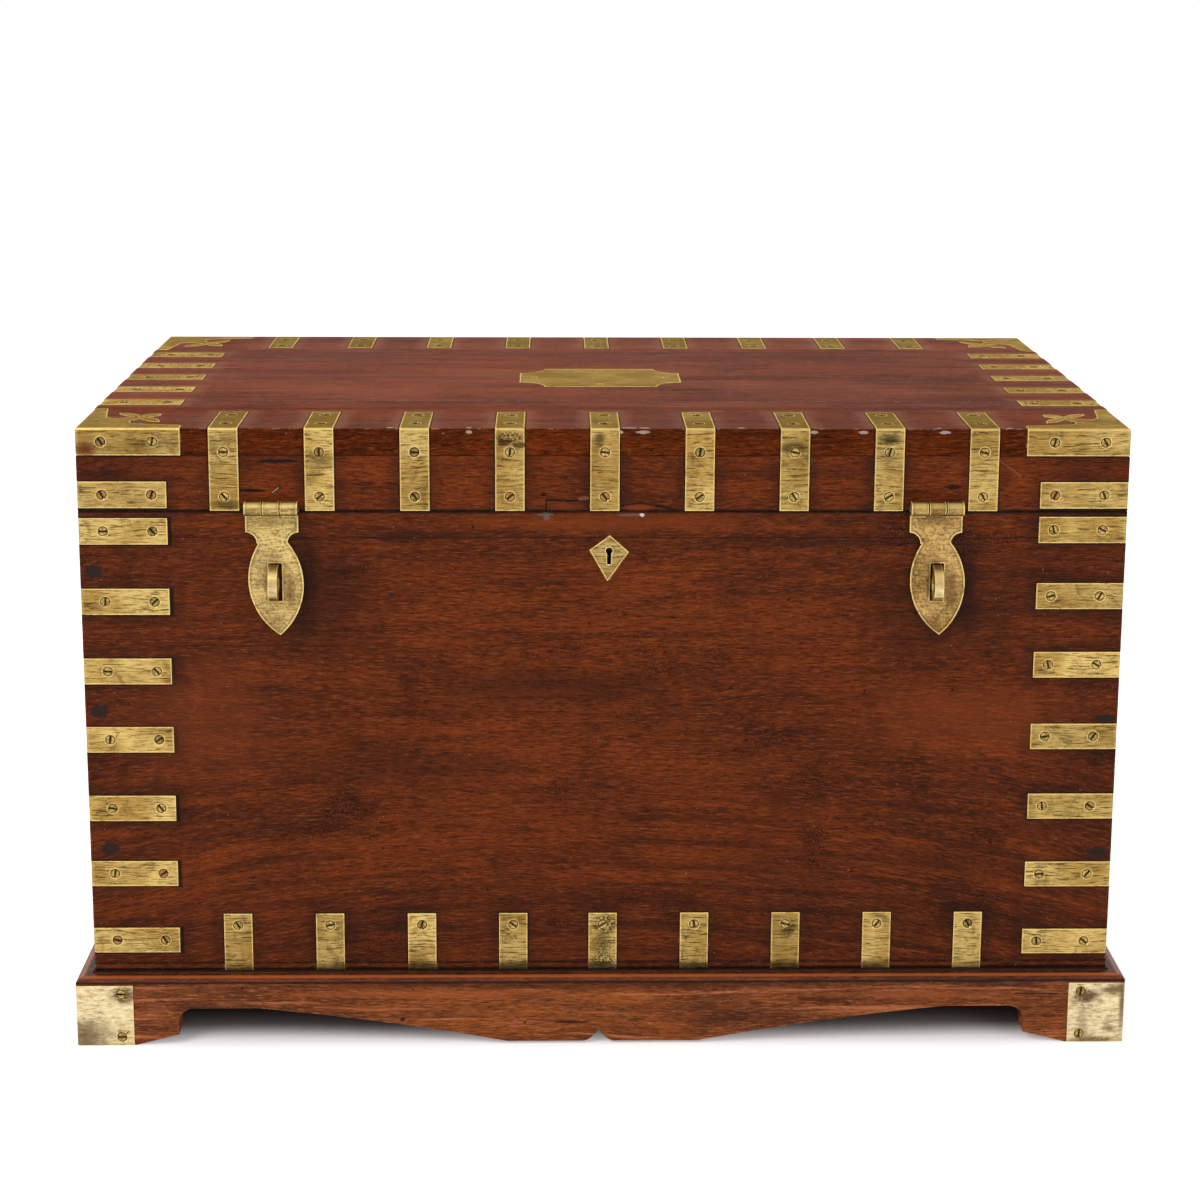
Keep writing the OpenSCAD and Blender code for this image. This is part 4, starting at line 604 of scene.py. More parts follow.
def brass_material(name, brass, grain="X", tarnish=0.35, pale=0.0, shine=0.40, lined=1.0, rim=0.0022,
                   marks=(), vary=0.55, tone=(1.0, 1.0, 1.0), mottle=0.0, lying=0.60, inner_shade=0.0, crease_shade=0.8,
                   rim_highlight=1.25):
    """Old brass: brushed lines, pits, tarnish and a tone per strap; painted shade in creases and painted
    highlights on rims and bent parts.
    """
    g = Graph(name)
    place = g.place()
    own = g.island_random()
    shifted = g.moved(place, g.mul(own, 3.0))
    sway = drawn_out(g, shifted, 34.0, 12.0, grain, 2.0)
    bent = bend(g, shifted, sway, 0.010, grain)
    brushed = drawn_out(g, bent, 700.0, 70.0, grain, 5.0, 0.74)
    cuts = drawn_out(g, bent, 760.0, 48.0, grain, 3.0, 0.66)
    cuts = g.mul(g.ramp(cuts, 0.54, 0.62), lined)
    cloud = g.noise(shifted, 44.0, 5.0, 0.70, 0.8)
    wide = g.noise(shifted, 17.0, 3.0, 0.55)
    spots = g.noise(shifted, 260.0, 3.0, 0.7)
    pits = g.ramp(g.cells(shifted, 560.0), 0.20, 0.06)
    pits = g.mul(pits, g.ramp(g.noise(shifted, 90.0, 2.0), 0.48, 0.64))
    bright = times(brass.bright, tone)
    middle = times(brass.middle, tone)
    olive = times(middle, (0.48, 0.46, 0.40))
    colour = g.mix(g.ramp(wide, 0.62, 0.36), middle, bright)
    colour = g.mix(g.ramp(own, 0.0, 1.0, 0.0, vary, smooth=False), colour, olive)
    colour = g.cover(colour, g.ramp(brushed, 0.53, 0.37), 0.75, olive)
    colour = g.cover(colour, g.ramp(brushed, 0.55, 0.70), 0.60, bright)
    colour = g.cover(colour, cuts, 0.80, brass.dark)
    worn = g.ramp(cloud, 0.51, 0.68)
    colour = g.cover(colour, worn, tarnish, brass.dark)
    colour = g.cover(colour, g.ramp(spots, 0.60, 0.72), 0.5 * tarnish + 0.15, brass.dark)
    colour = g.cover(colour, pits, 0.85, times(brass.dark, 0.4))
    if mottle:
        # Cast pieces: a fine hammered mottle of bright and brown
        grit = g.noise(place, 420.0, 3.0, 0.7)
        colour = g.cover(colour, g.ramp(grit, 0.50, 0.38), mottle, brass.dark)
        colour = g.cover(colour, g.ramp(grit, 0.54, 0.68), mottle, bright)
    if pale:
        # Pale whitish lines, a painted sheen
        pale_sheen = drawn_out(g, place, 420.0, 130.0, grain, 5.0, 0.78)
        colour = g.cover(colour, g.ramp(pale_sheen, 0.70, 0.36), pale, srgb(236, 222, 184))
    # Lying surfaces are painted darker, and bent parts get a painted highlight
    rise = g.rise()
    colour = g.cover(colour, g.ramp(rise, 0.60, 0.90), lying, times(middle, (0.20, 0.19, 0.20)))
    bend_highlight = g.mul(g.ramp(rise, 0.10, 0.40), g.ramp(rise, 0.97, 0.80))
    colour = g.cover(colour, bend_highlight, 0.70, bright)
    # Painted shade in the creases, in a dark tarnish colour
    colour = g.cover(colour, g.ramp(g.openness(0.0030, 6), 0.90, 0.40), crease_shade, times(brass.dark, 0.35))
    if inner_shade:
        # A brown line of painted shade just inside the rim's painted highlight
        inside = near_edge(g, 2.2 * rim, 6, 0.999, 0.97)
        colour = g.cover(colour, inside, inner_shade, times(brass.dark, 0.9))
    # A painted highlight along the rims, which also stands for wear by rubbing
    edge = near_edge(g, rim, 5, 0.997, 0.955)
    edge = g.mul(edge, g.ramp(g.noise(place, 140.0, 3.0), 0.32, 0.50, 0.35, 1.0))
    colour = g.mix(edge, colour, tuple(min(rim_highlight * c, 0.95) for c in bright))
    colour = painted(g, colour, place, marks)
    rough = g.add(shine, g.mul(g.sub(brushed, 0.5), 0.30))
    rough = g.add(rough, g.mul(g.high(worn, g.ramp(rise, 0.6, 0.9)), 0.20))
    height = g.sub(g.sub(g.mul(brushed, 0.6), g.mul(cuts, 0.8)), g.mul(pits, 0.8))
    normal = g.bump(height, 0.00025, 0.50)
    normal = g.bump(g.add(wide, g.mul(cloud, 0.2)), 0.0022, 0.22, normal)
    metal = g.sub(0.94, g.mul(worn, 0.30 * tarnish + 0.1))
    return g.surface(Base_Color=colour, Metallic=metal, Roughness=rough, Normal=normal,
                     Specular_Tint=GLINT)


def screw_material(brass):
    """Old screws: painted shade in the slot, a dark circle of dirt and painted shade round the rim, and some
    redder or darker heads.
    """
    g = Graph("screw_brass")
    place = g.place()
    own = g.island_random()
    shifted = g.moved(place, g.mul(own, 5.0))
    turned = g.noise(shifted, 420.0, 4.0, 0.65)
    colour = g.mix(g.ramp(turned, 0.36, 0.66), times(brass.middle, 0.50), times(brass.bright, 0.95))
    colour = g.mix(g.ramp(own, 0.90, 0.93, 0.0, 0.60), colour, srgb(150, 84, 58))
    colour = g.mix(g.ramp(own, 0.35, 0.05, 0.0, 0.50), colour, brass.dark)
    rise = g.rise()
    # Lying heads are painted darker
    colour = g.cover(colour, g.ramp(rise, 0.6, 0.9), 0.85, srgb(84, 68, 36))
    # Painted shade in the slot and in the narrow space round the head
    colour = g.cover(colour, g.ramp(g.openness(0.0024, 8), 0.94, 0.50), 0.95, srgb(18, 12, 7))
    # A dark circle round the rim, for dirt and the painted shade of the narrow space beside it
    colour = g.cover(colour, near_edge(g, 0.0013, 6, 0.999, 0.965), 0.92, srgb(34, 22, 11))
    rough = g.add(g.add(0.34, g.mul(turned, 0.25)), g.mul(g.ramp(rise, 0.6, 0.9), 0.2))
    normal = g.bump(turned, 0.0002, 0.5)
    return g.surface(Base_Color=colour, Metallic=0.82, Roughness=rough, Normal=normal, Specular_Tint=GLINT)


def iron_material():
    """Dark oiled iron of the lock."""
    g = Graph("lock_iron")
    place = g.place()
    mottle = g.noise(place, 120.0, 5.0, 0.7)
    colour = g.mix(g.ramp(mottle, 0.35, 0.68), srgb(42, 38, 35), srgb(88, 80, 73))
    colour = g.cover(colour, g.ramp(g.noise(place, 45.0, 4.0), 0.56, 0.72), 0.7, srgb(94, 52, 30))
    return g.surface(Base_Color=colour, Metallic=0.7, Roughness=g.add(0.42, g.mul(mottle, 0.25)),
                     Normal=g.bump(mottle, 0.0003, 0.5))


def softwood_material():
    """Plain blocking wood inside the plinth."""
    g = Graph("blocking_wood")
    place = g.scaled(g.place(), (1.0, 9.0, 9.0))
    grain = g.noise(place, 9.0, 6.0, 0.7)
    colour = g.mix(g.ramp(grain, 0.3, 0.7), srgb(96, 62, 36), srgb(158, 116, 74))
    return g.surface(Base_Color=colour, Roughness=0.72, Normal=g.bump(grain, 0.0006, 0.6))


# Meshes
# Edges that turn by more than this are softened, and shade sharp
SHARP = math.radians(32.0)
# Softened edge of a screw's head
SCREW_EDGE = 0.00018


def own_tones(bm, seed):
    """Gives the faces of each separate solid one number between zero and one."""
    layer = bm.faces.layers.float.new("own_tone")
    draw = random.Random(seed)
    bm.faces.ensure_lookup_table()
    done = set()
    for first in bm.faces:
        if first in done:
            continue
        tone = draw.random()
        todo = [first]
        done.add(first)
        while todo:
            face = todo.pop()
            face[layer] = tone
            for v in face.verts:
                for other in v.link_faces:
                    if other not in done:
                        done.add(other)
                        todo.append(other)


def finished_copy(node, material, bevel, segments=2):
    """A piece in the place of one CAD node, with clean faces and softened edges."""
    mesh = NODES[node].data.copy()
    mesh.materials.clear()
    obj = bpy.data.objects.new(f"finished_{node}", mesh)
    bpy.context.scene.collection.objects.link(obj)
    bm = bmesh.new()
    bm.from_mesh(mesh)
    bmesh.ops.remove_doubles(bm, verts=bm.verts, dist=2e-6)
    bmesh.ops.dissolve_limit(bm, angle_limit=math.radians(0.6), verts=bm.verts, edges=bm.edges,
                             delimit={"NORMAL"})
    own_tones(bm, node)
    bm.to_mesh(mesh)
    bm.free()
    if not mesh.polygons:
        raise RuntimeError(f"{node} has no faces to finish")
    for p in mesh.polygons:
        p.use_smooth = True
    mesh.materials.append(material)
    if bevel:
        edge = obj.modifiers.new("Softened edges", "BEVEL")
        edge.width = bevel
        edge.segments = segments
        edge.limit_method = "ANGLE"
        edge.angle_limit = SHARP
        edge.harden_normals = True
        edge.use_clamp_overlap = True
    mesh.set_sharp_from_angle(angle=SHARP)
    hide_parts(node)
    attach(obj, BODY_OF[node])
    return obj


def round_shading(obj):
    """Lets a piece that is round all over shade smoothly."""
    obj.data.set_sharp_from_angle(angle=math.radians(50.0))


# Marks: kind, the two coordinates, middle, half sizes, colour and strength; all in metres
FILLER = srgb(38, 30, 28)
BURN = srgb(24, 14, 10)


def spot(x, z, a, b, shade=FILLER, share=0.88, kind="blot"):
    """A mark on an upright face, an oval unless its kind says otherwise."""
    return (kind, ("x", "z"), (x, z), (a, b), shade, share)


def soft(x, z, a, b, shade, share):
    """A cloudy stain."""
    return spot(x, z, a, b, shade, share, "soft")


def rot(x, z, a, b, shade, share):
    """A patch of ragged specks."""
    return spot(x, z, a, b, shade, share, "rot")


def slash(x, z, x_end, z_end, half, shade=FILLER, share=0.88):
    """A scratch or crack from one point to another."""
    return ("slash", ("x", "z"), (x, z), (x_end, z_end, half), shade, share)


def front_marks():
    """Stains, plugs and dents on the front of the case, and a painted shadow with old dirt to the right of
    each hasp.
    """
    stain = srgb(30, 13, 7)
    return [
        soft(-0.25, 0.405, 0.05, 0.06, stain, 0.55), soft(0.29, 0.4, 0.075, 0.06, stain, 0.55),
        # A painted shadow, with old dirt, to the right of each hasp
        soft(-0.262, 0.425, 0.016, 0.056, stain, 0.75),
        soft(0.313, 0.425, 0.016, 0.056, stain, 0.6),
        soft(-0.16, 0.468, 0.05, 0.007, stain, 0.6), soft(0.18, 0.463, 0.09, 0.008, stain, 0.5),
        soft(0.0, 0.48, 0.16, 0.01, srgb(140, 64, 24), 0.45),
        soft(0.33, 0.3, 0.11, 0.04, srgb(134, 62, 26), 0.45),
        soft(-0.35, 0.3, 0.07, 0.07, srgb(126, 60, 30), 0.35),
        soft(-0.05, 0.33, 0.15, 0.025, stain, 0.45), soft(-0.18, 0.26, 0.13, 0.025, stain, 0.4),
        soft(0.0, 0.068, 0.5, 0.007, stain, 0.6),
        spot(-0.4455, 0.436, 0.0085, 0.0062), spot(-0.4445, 0.309, 0.0085, 0.0066),
        spot(-0.4395, 0.181, 0.0085, 0.006), spot(0.445, 0.301, 0.01, 0.0045),
        spot(0.444, 0.176, 0.01, 0.005),
        spot(-0.3, 0.468, 0.0022, 0.0014), spot(0.018, 0.397, 0.003, 0.0013),
        spot(-0.186, 0.415, 0.0022, 0.0016), spot(0.112, 0.33, 0.0018, 0.0014),
        spot(-0.052, 0.487, 0.0075, 0.0018, srgb(104, 90, 82), 0.7),
        spot(-0.0505, 0.4845, 0.0032, 0.0024, srgb(112, 98, 92), 0.7),
        spot(0.024, 0.4868, 0.012, 0.0013, srgb(112, 92, 82), 0.7),
        spot(0.0325, 0.4868, 0.0022, 0.0016, srgb(220, 214, 208), 0.9),
    ]


def rail_marks():
    """Stains, the burnt patch beside the middle strap, and cracks on the lid's front rail."""
    return [
        soft(-0.24, 0.556, 0.06, 0.009, srgb(40, 18, 9), 0.6),
        soft(0.16, 0.525, 0.08, 0.008, srgb(40, 18, 9), 0.5),
        soft(-0.43, 0.523, 0.03, 0.008, srgb(30, 14, 9), 0.6),
        soft(-0.032, 0.4945, 0.017, 0.004, srgb(116, 50, 22), 0.8),
        spot(-0.022, 0.4945, 0.029, 0.0052, BURN, 0.95, "frame"),
        spot(-0.014, 0.4962, 0.0022, 0.0036, FILLER, 0.9),
        spot(-0.0185, 0.5015, 0.005, 0.002, srgb(150, 84, 62), 0.6),
        soft(0.03, 0.4935, 0.017, 0.0024, srgb(132, 60, 28), 0.8),
        spot(0.014, 0.4952, 0.0042, 0.0018, FILLER, 0.9),
        slash(0.0115, 0.495, 0.03, 0.4974, 0.001, BURN, 0.95),
        slash(0.03, 0.4974, 0.046, 0.4954, 0.0009, BURN, 0.95),
        slash(0.045, 0.495, 0.061, 0.4915, 0.0016, BURN, 0.95),
        slash(0.34, 0.5375, 0.363, 0.5215, 0.00045, srgb(150, 104, 84), 0.55),
        slash(-0.2885, 0.506, -0.2825, 0.5115, 0.0014, srgb(30, 20, 16), 0.8),
        slash(-0.2882, 0.5066, -0.283, 0.511, 0.0006, srgb(176, 156, 146), 0.8),
        spot(-0.283, 0.5345, 0.019, 0.0016, BURN, 1.0), spot(-0.306, 0.5085, 0.015, 0.0015, BURN, 1.0),
        spot(0.303, 0.512, 0.0065, 0.0026, BURN, 0.9), spot(-0.0535, 0.5052, 0.0024, 0.0022, BURN, 0.95),
    ]


def plank_marks():
    """Pale scuffs along the lid's front edge, on its top and on its front."""
    pale = srgb(186, 168, 160)
    on_top = ((0.021, 0.007), (0.034, 0.005), (0.29, 0.0022), (-0.186, 0.003), (-0.118, 0.0024),
              (0.118, 0.0034), (-0.33, 0.0026), (0.352, 0.003))
    in_front = ((0.181, 0.0035), (0.224, 0.004), (0.295, 0.005), (0.033, 0.006), (0.013, 0.0028),
                (-0.118, 0.003))
    return [*(("blot", ("x", "y"), (x, EDGE_Y), (half, 0.0022), pale, 0.75) for x, half in on_top),
            *(spot(x, EDGE_Z, half, 0.0015, pale, 0.8) for x, half in in_front)]


def plinth_marks():
    """Stains, small dents and one dark line on the front of the plinth."""
    return [
        soft(0.2, 0.042, 0.028, 0.005, srgb(48, 26, 18), 0.65),
        spot(-0.03, 0.021, 0.018, 0.0013, BURN, 0.8), spot(-0.18, 0.024, 0.0024, 0.0018, BURN, 0.8),
        spot(0.03, 0.023, 0.009, 0.0013, BURN, 0.6),
        soft(-0.365, 0.033, 0.03, 0.009, srgb(60, 28, 14), 0.6),
        soft(0.0, 0.06, 0.5, 0.01, srgb(58, 26, 14), 0.6),
        soft(0.115, 0.025, 0.06, 0.007, srgb(64, 30, 18), 0.5),
        soft(-0.15, 0.048, 0.13, 0.005, srgb(176, 92, 48), 0.5),
        soft(0.28, 0.046, 0.1, 0.005, srgb(176, 96, 56), 0.5),
        slash(0.372, 0.0468, 0.4218, 0.0462, 0.0008, BURN, 0.85),
    ]


def plate_marks():
    """Dark patches and specks on the two corner plates of the plinth."""
    dark = srgb(82, 56, 30)
    return [
        soft(-0.47, 0.01, 0.038, 0.018, dark, 0.75), soft(-0.43, 0.048, 0.013, 0.011, dark, 0.8),
        rot(-0.43, 0.048, 0.01, 0.009, dark, 0.8),
        soft(0.468, 0.05, 0.015, 0.009, dark, 0.4), soft(0.435, 0.018, 0.006, 0.024, dark, 0.4),
        rot(-0.43, 0.011, 0.007, 0.005, dark, 0.7),
        soft(0.438, 0.044, 0.013, 0.008, dark, 0.85), rot(0.436, 0.045, 0.01, 0.007, dark, 0.7),
        soft(0.459, 0.013, 0.007, 0.0045, dark, 0.6), soft(0.47, 0.035, 0.0035, 0.025, dark, 0.8),
        soft(0.445, 0.002, 0.026, 0.003, dark, 0.7), soft(0.46, 0.05, 0.012, 0.004, dark, 0.7),
    ]


def hasp_shade_and_patches():
    """Painted shade beside and under the hasps' knuckles, under their leaves and down their right sides;
    brown patches on the plates.
    """
    gap_shade = srgb(22, 14, 8)
    brown = srgb(84, 60, 32)
    marks = []
    for x in (-HASP_X, HASP_X):
        marks += [
            # Painted shade in the knuckles' gaps, under the knuckles and under the leaves
            spot(x - KNUCKLE_HALF, HASP_Z, 0.0006, 0.008, gap_shade, 0.95, "box"),
            spot(x + KNUCKLE_HALF, HASP_Z, 0.0006, 0.008, gap_shade, 0.95, "box"),
            soft(x, 0.4815, 0.026, 0.004, srgb(92, 70, 36), 0.5),
            spot(x, 0.4872, 0.022, 0.0006, gap_shade, 0.9, "box"),
            soft(x, 0.432, 0.014, 0.026, brown, 0.5), soft(x, 0.389, 0.012, 0.012, brown, 0.45),
            # Painted shade down the right side of the hasp
            soft(x + 0.015, 0.42, 0.007, 0.028, srgb(80, 54, 26), 0.65),
        ]
    return marks


def strap_marks():
    """Rust, verdigris and dark stains on the front's straps."""
    rust = srgb(52, 24, 8)
    dark = srgb(40, 28, 12)
    green = srgb(38, 44, 26)
    return [
        rot(-0.0825, 0.556, 0.0125, 0.005, rust, 0.9), spot(-0.088, 0.551, 0.006, 0.003, rust, 0.8),
        spot(-0.074, 0.549, 0.007, 0.0022, dark, 0.8), soft(-0.005, 0.554, 0.006, 0.007, dark, 0.75),
        soft(0.165, 0.547, 0.014, 0.005, dark, 0.7), soft(0.2475, 0.554, 0.014, 0.005, dark, 0.8),
        soft(0.2475, 0.539, 0.014, 0.006, dark, 0.5), soft(-0.2475, 0.535, 0.014, 0.008, dark, 0.5),
        soft(-0.33, 0.496, 0.015, 0.005, dark, 0.7), soft(-0.448, 0.544, 0.013, 0.008, rust, 0.9),
        rot(-0.448, 0.546, 0.01, 0.007, srgb(120, 62, 40), 0.8),
        rot(0.002, 0.108, 0.0125, 0.011, dark, 0.9), rot(0.0, 0.088, 0.01, 0.011, green, 0.7),
        soft(0.001, 0.089, 0.008, 0.009, green, 0.55), rot(0.001, 0.074, 0.012, 0.006, dark, 0.9),
        soft(0.167, 0.104, 0.008, 0.012, rust, 0.55), rot(0.167, 0.104, 0.008, 0.01, rust, 0.5),
        rot(-0.0825, 0.096, 0.006, 0.005, dark, 0.7), soft(0.0, 0.068, 0.4, 0.006, dark, 0.8),
        soft(-0.39, 0.242, 0.012, 0.007, dark, 0.6), soft(0.4, 0.245, 0.012, 0.006, dark, 0.5),
        soft(-0.39, 0.55, 0.02, 0.006, dark, 0.4),
    ]


# Stage
def lay_floor(scene):
    """A floor that is white to the eye and in reflections, with a painted shadow under the chest."""
    mesh = bpy.data.meshes.new("studio_floor")
    mesh.from_pydata([(-9, -9, 0), (9, -9, 0), (9, 9, 0), (-9, 9, 0)], [], [(0, 1, 2, 3)])
    floor = bpy.data.objects.new("studio_floor", mesh)
    scene.collection.objects.link(floor)
    g = Graph("studio_floor")
    x, y = g.split(g.place())[:2]
    outside = box_distance(g, x, y, (0.0, MIDDLE), PLINTH_HALF)
    seen = g.nodes.new("ShaderNodeLightPath")
    white = g.high(seen.outputs["Is Camera Ray"], seen.outputs["Is Glossy Ray"])
    white = g.mul(white, g.ramp(outside, -0.045, 0.030))
    # Painted shadow: the floor's own colour turns dark under the chest
    shade = g.mix(g.ramp(outside, -0.090, -0.010), (0.075, 0.07, 0.068), (0.90, 0.90, 0.905))
    mesh.materials.append(g.surface(
        Base_Color=shade, Roughness=0.9, Specular_IOR_Level=0.1,
        Emission_Color=(1.0, 1.0, 1.0), Emission_Strength=g.mul(white, 0.62)))


def hang_sky(scene, strength):
    """A sky that is white to the eye and in reflections, and otherwise an even, faintly warm light."""
    world = bpy.data.worlds.new("studio_sky")
    world.use_nodes = True
    nodes = world.node_tree.nodes
    link = world.node_tree.links.new
    nodes.clear()
    out = nodes.new("ShaderNodeOutputWorld")
    choose = nodes.new("ShaderNodeMixShader")
    for place, colour, power in ((1, (1.0, 0.985, 0.965, 1.0), strength), (2, (1.0, 1.0, 1.0, 1.0), 1.0)):
        glow = nodes.new("ShaderNodeBackground")
        glow.inputs[0].default_value = colour
        glow.inputs[1].default_value = power
        link(glow.outputs[0], choose.inputs[place])
    path = nodes.new("ShaderNodeLightPath")
    direct = nodes.new("ShaderNodeMath")
    direct.operation = "MAXIMUM"
    link(path.outputs["Is Camera Ray"], direct.inputs[0])
    link(path.outputs["Is Glossy Ray"], direct.inputs[1])
    link(direct.outputs[0], choose.inputs[0])
    link(choose.outputs[0], out.inputs[0])
    scene.world = world


def add_light(scene, name, place, target_z, size, power, colour):
    """A round lamp, aimed at a height on the chest's middle line."""
    data = bpy.data.lights.new(name, "AREA")
    data.shape = "DISK"
    data.size = size
    data.energy = power
    data.color = colour
    lamp = bpy.data.objects.new(name, data)
    scene.collection.objects.link(lamp)
    lamp.location = place
    aim = Vector((0.0, 0.0, target_z)) - Vector(place)
    lamp.rotation_euler = aim.to_track_quat("-Z", "Y").to_euler()


def set_camera(scene, focal, shift):
    """The camera that was fitted to the chest's corners in the photograph."""
    data = bpy.data.cameras.new("studio_camera")
    data.sensor_width = 36.0
    data.lens = data.sensor_width * focal
    data.shift_y = -shift
    data.clip_start = 0.05
    data.clip_end = 60.0
    camera = bpy.data.objects.new("studio_camera", data)
    scene.collection.objects.link(camera)
    pitch, yaw, roll = math.radians(10.95), math.radians(1.11), math.radians(0.28)
    forward = Vector((math.sin(yaw) * math.cos(pitch), math.cos(yaw) * math.cos(pitch), -math.sin(pitch)))
    level = Vector((math.cos(yaw), -math.sin(yaw), 0.0))
    upright = level.cross(forward)
    right = level * math.cos(roll) + upright * math.sin(roll)
    up = upright * math.cos(roll) - level * math.sin(roll)
    turn = Matrix((right, up, -forward)).transposed()
    camera.matrix_world = Matrix.Translation((-0.043, -2.234, 0.955)) @ turn.to_4x4()
    scene.camera = camera


# Operators
class CHEST_OT_case_wood(Operator):
    """Finish the boards of the case."""
    bl_idname = "chest.case_wood"
    bl_label = "Case boards"

    def execute(self, context):
        wood = context.scene.chest_wood
        foot = (("z", BOTTOM_EDGE, 0.0008, 0.8), ("z", CASE_FOOT, 0.0012, 0.9))
        # The line at the split is the dark joint between lid and case, with its painted shade
        dark_lines = (("z", SPLIT, 0.0013, 0.95), *foot, ("z", SUNK_LINE, 0.0005, 0.55))
        front = wood_material("front_wood", wood, "X", "front", marks=front_marks(), dark_lines=dark_lines,
                              arches=wood.arches, crackle=0.8)
        back = wood_material("back_wood", wood, "X", "back", tone=(0.95, 0.96, 1.0), rough=0.55,
                             dark_lines=dark_lines, arches=wood.arches)
        left = wood_material("left_end_wood", wood, "Y", "left_end", dark_lines=dark_lines, rough=0.50)
        right = wood_material("right_end_wood", wood, "Y", "right_end", dark_lines=dark_lines, rough=0.50)
        under = wood_material("bottom_wood", wood, "X", tone=(0.90, 0.92, 0.95), rough=0.60, dark_lines=foot)
        for node, material in (("case_front", front), ("case_back", back), ("case_left_end", left),
                               ("case_right_end", right), ("bottom_boards", under)):
            finished_copy(node, material, wood.bevel)
        return {"FINISHED"}


class CHEST_OT_plinth_wood(Operator):
    """Finish the plinth, its moulding and its inner blocks."""
    bl_idname = "chest.plinth_wood"
    bl_label = "Plinth"

    def execute(self, context):
        wood = context.scene.chest_wood
        reddish = (1.85, 2.65, 4.10)
        below = (("z", PLINTH_TOP, 0.0006, 0.75),)
        along = wood_material("plinth_wood", wood, "X", tone=reddish, rough=0.50, marks=plinth_marks(),
                              streaks=0.6, dark_lines=below)
        ends = wood_material("plinth_end_wood", wood, "Y", tone=reddish, rough=0.50, streaks=0.6,
                             dark_lines=below)
        # The moulding gets painted shade in its fillet and a painted highlight along its bead
        lines = tuple(("z", height, 0.0008, 0.95) for height in MOULDING_LINES)
        moulded, moulded_end = (
            wood_material(name, wood, grain, tone=(1.02, 1.08, 1.12), rough=0.36, gloss=0.20, dark_lines=lines,
                          streaks=0.5, chips=0.0, marks=[
                              ("box", (grain.lower(), "z"), (0.0, MOULDING_HIGHLIGHT), (half, 0.0006),
                               srgb(196, 104, 58), 0.6)])
            for name, grain, half in (("moulding_wood", "X", 0.6), ("moulding_end_wood", "Y", 0.4)))
        for node, material in (("plinth_front", along), ("plinth_back", along), ("plinth_left", ends),
                               ("plinth_right", ends)):
            finished_copy(node, material, wood.bevel * 1.3)
        for node, material in (("moulding_front", moulded), ("moulding_back", moulded),
                               ("moulding_left", moulded_end), ("moulding_right", moulded_end)):
            finished_copy(node, material, wood.bevel * 0.5)
        plain = softwood_material()
        for node in ("plinth_ledgers", "plinth_corner_blocks"):
            finished_copy(node, plain, wood.bevel)
        return {"FINISHED"}


class CHEST_OT_lid_wood(Operator):
    """Finish the planks and rails of the lid."""
    bl_idname = "chest.lid_wood"
    bl_label = "Lid boards"

    def execute(self, context):
        wood = context.scene.chest_wood
        joint = ("z", PLANK_JOINT, 0.0005, 0.55)
        # The line at the lid's lower edge is the dark joint above the case, with its painted shade
        dark_lines = (("z", SPLIT + 0.0005, 0.0010, 0.9), joint)
        plank = wood_material("plank_wood", wood, "X", "top", tone=(1.12, 1.00, 0.80), bleach=0.30,
                              rough=0.56, gloss=0.026, marks=plank_marks(),
                              dark_lines=(joint, *(("y", y, 0.0007, share) for y, share in PLANK_SEAMS)))
        tone = (0.97, 0.95, 0.92)
        rail = wood_material("rail_wood", wood, "X", "rail", tone=tone, marks=rail_marks(), dark_lines=dark_lines)
        back = wood_material("back_rail_wood", wood, "X", "back_rail", tone=tone, rough=0.52, dark_lines=dark_lines)
        end = wood_material("end_rail_wood", wood, "Y", "end_rail", tone=tone, rough=0.48, dark_lines=dark_lines)
        for node in ("lid_front_plank", "lid_middle_plank", "lid_back_plank"):
            finished_copy(node, plank, wood.bevel)
        for node, material in (("lid_front_rail", rail), ("lid_back_rail", back), ("lid_left_rail", end),
                               ("lid_right_rail", end)):
            finished_copy(node, material, wood.bevel * 0.7)
        return {"FINISHED"}


class CHEST_OT_straps(Operator):
    """Finish the brass straps, corner caps and corner plates."""
    bl_idname = "chest.straps"
    bl_label = "Straps, caps and plates"

    def execute(self, context):
        brass = context.scene.chest_brass
        strap = brass_material("strap_brass", brass, "X", tarnish=0.40, marks=strap_marks())
        end = brass_material("end_strap_brass", brass, "Y", tarnish=0.35, lying=0.12)
        cap = brass_material("cap_brass", brass, "X", tarnish=0.45, lying=0.22, marks=strap_marks())
        plate = brass_material("plate_brass", brass, "X", tarnish=0.26, pale=0.90, shine=0.48, vary=0.05,
                               mottle=0.20, marks=plate_marks())
        for node, material in (
                ("case_corner_straps", strap), ("case_bottom_straps", strap), ("lid_corner_straps", strap),
                ("lid_front_straps", strap), ("lid_back_straps", strap), ("lid_end_straps", end),
                ("lid_corner_caps", cap), ("plinth_corner_plates", plate)):
            finished_copy(node, material, brass.bevel)
        return {"FINISHED"}


class CHEST_OT_name_and_key(Operator):
    """Finish the bare nameplate and the escutcheon."""
    bl_idname = "chest.name_and_key"
    bl_label = "Nameplate and escutcheon"

    def execute(self, context):
        brass = context.scene.chest_brass
        calm = brass_material("nameplate_brass", brass, "X", tarnish=0.14, shine=0.36, lined=0.2, vary=0.1,
                              tone=(1.12, 1.12, 1.16))
        kite = brass_material("escutcheon_brass", brass, "X", tarnish=0.45, vary=0.1, inner_shade=0.35,
                              rim_highlight=1.75, tone=(0.78, 0.78, 0.82))
        finished_copy("nameplate", calm, brass.bevel)
        finished_copy("escutcheon", kite, brass.bevel * 1.6, 3)
        return {"FINISHED"}


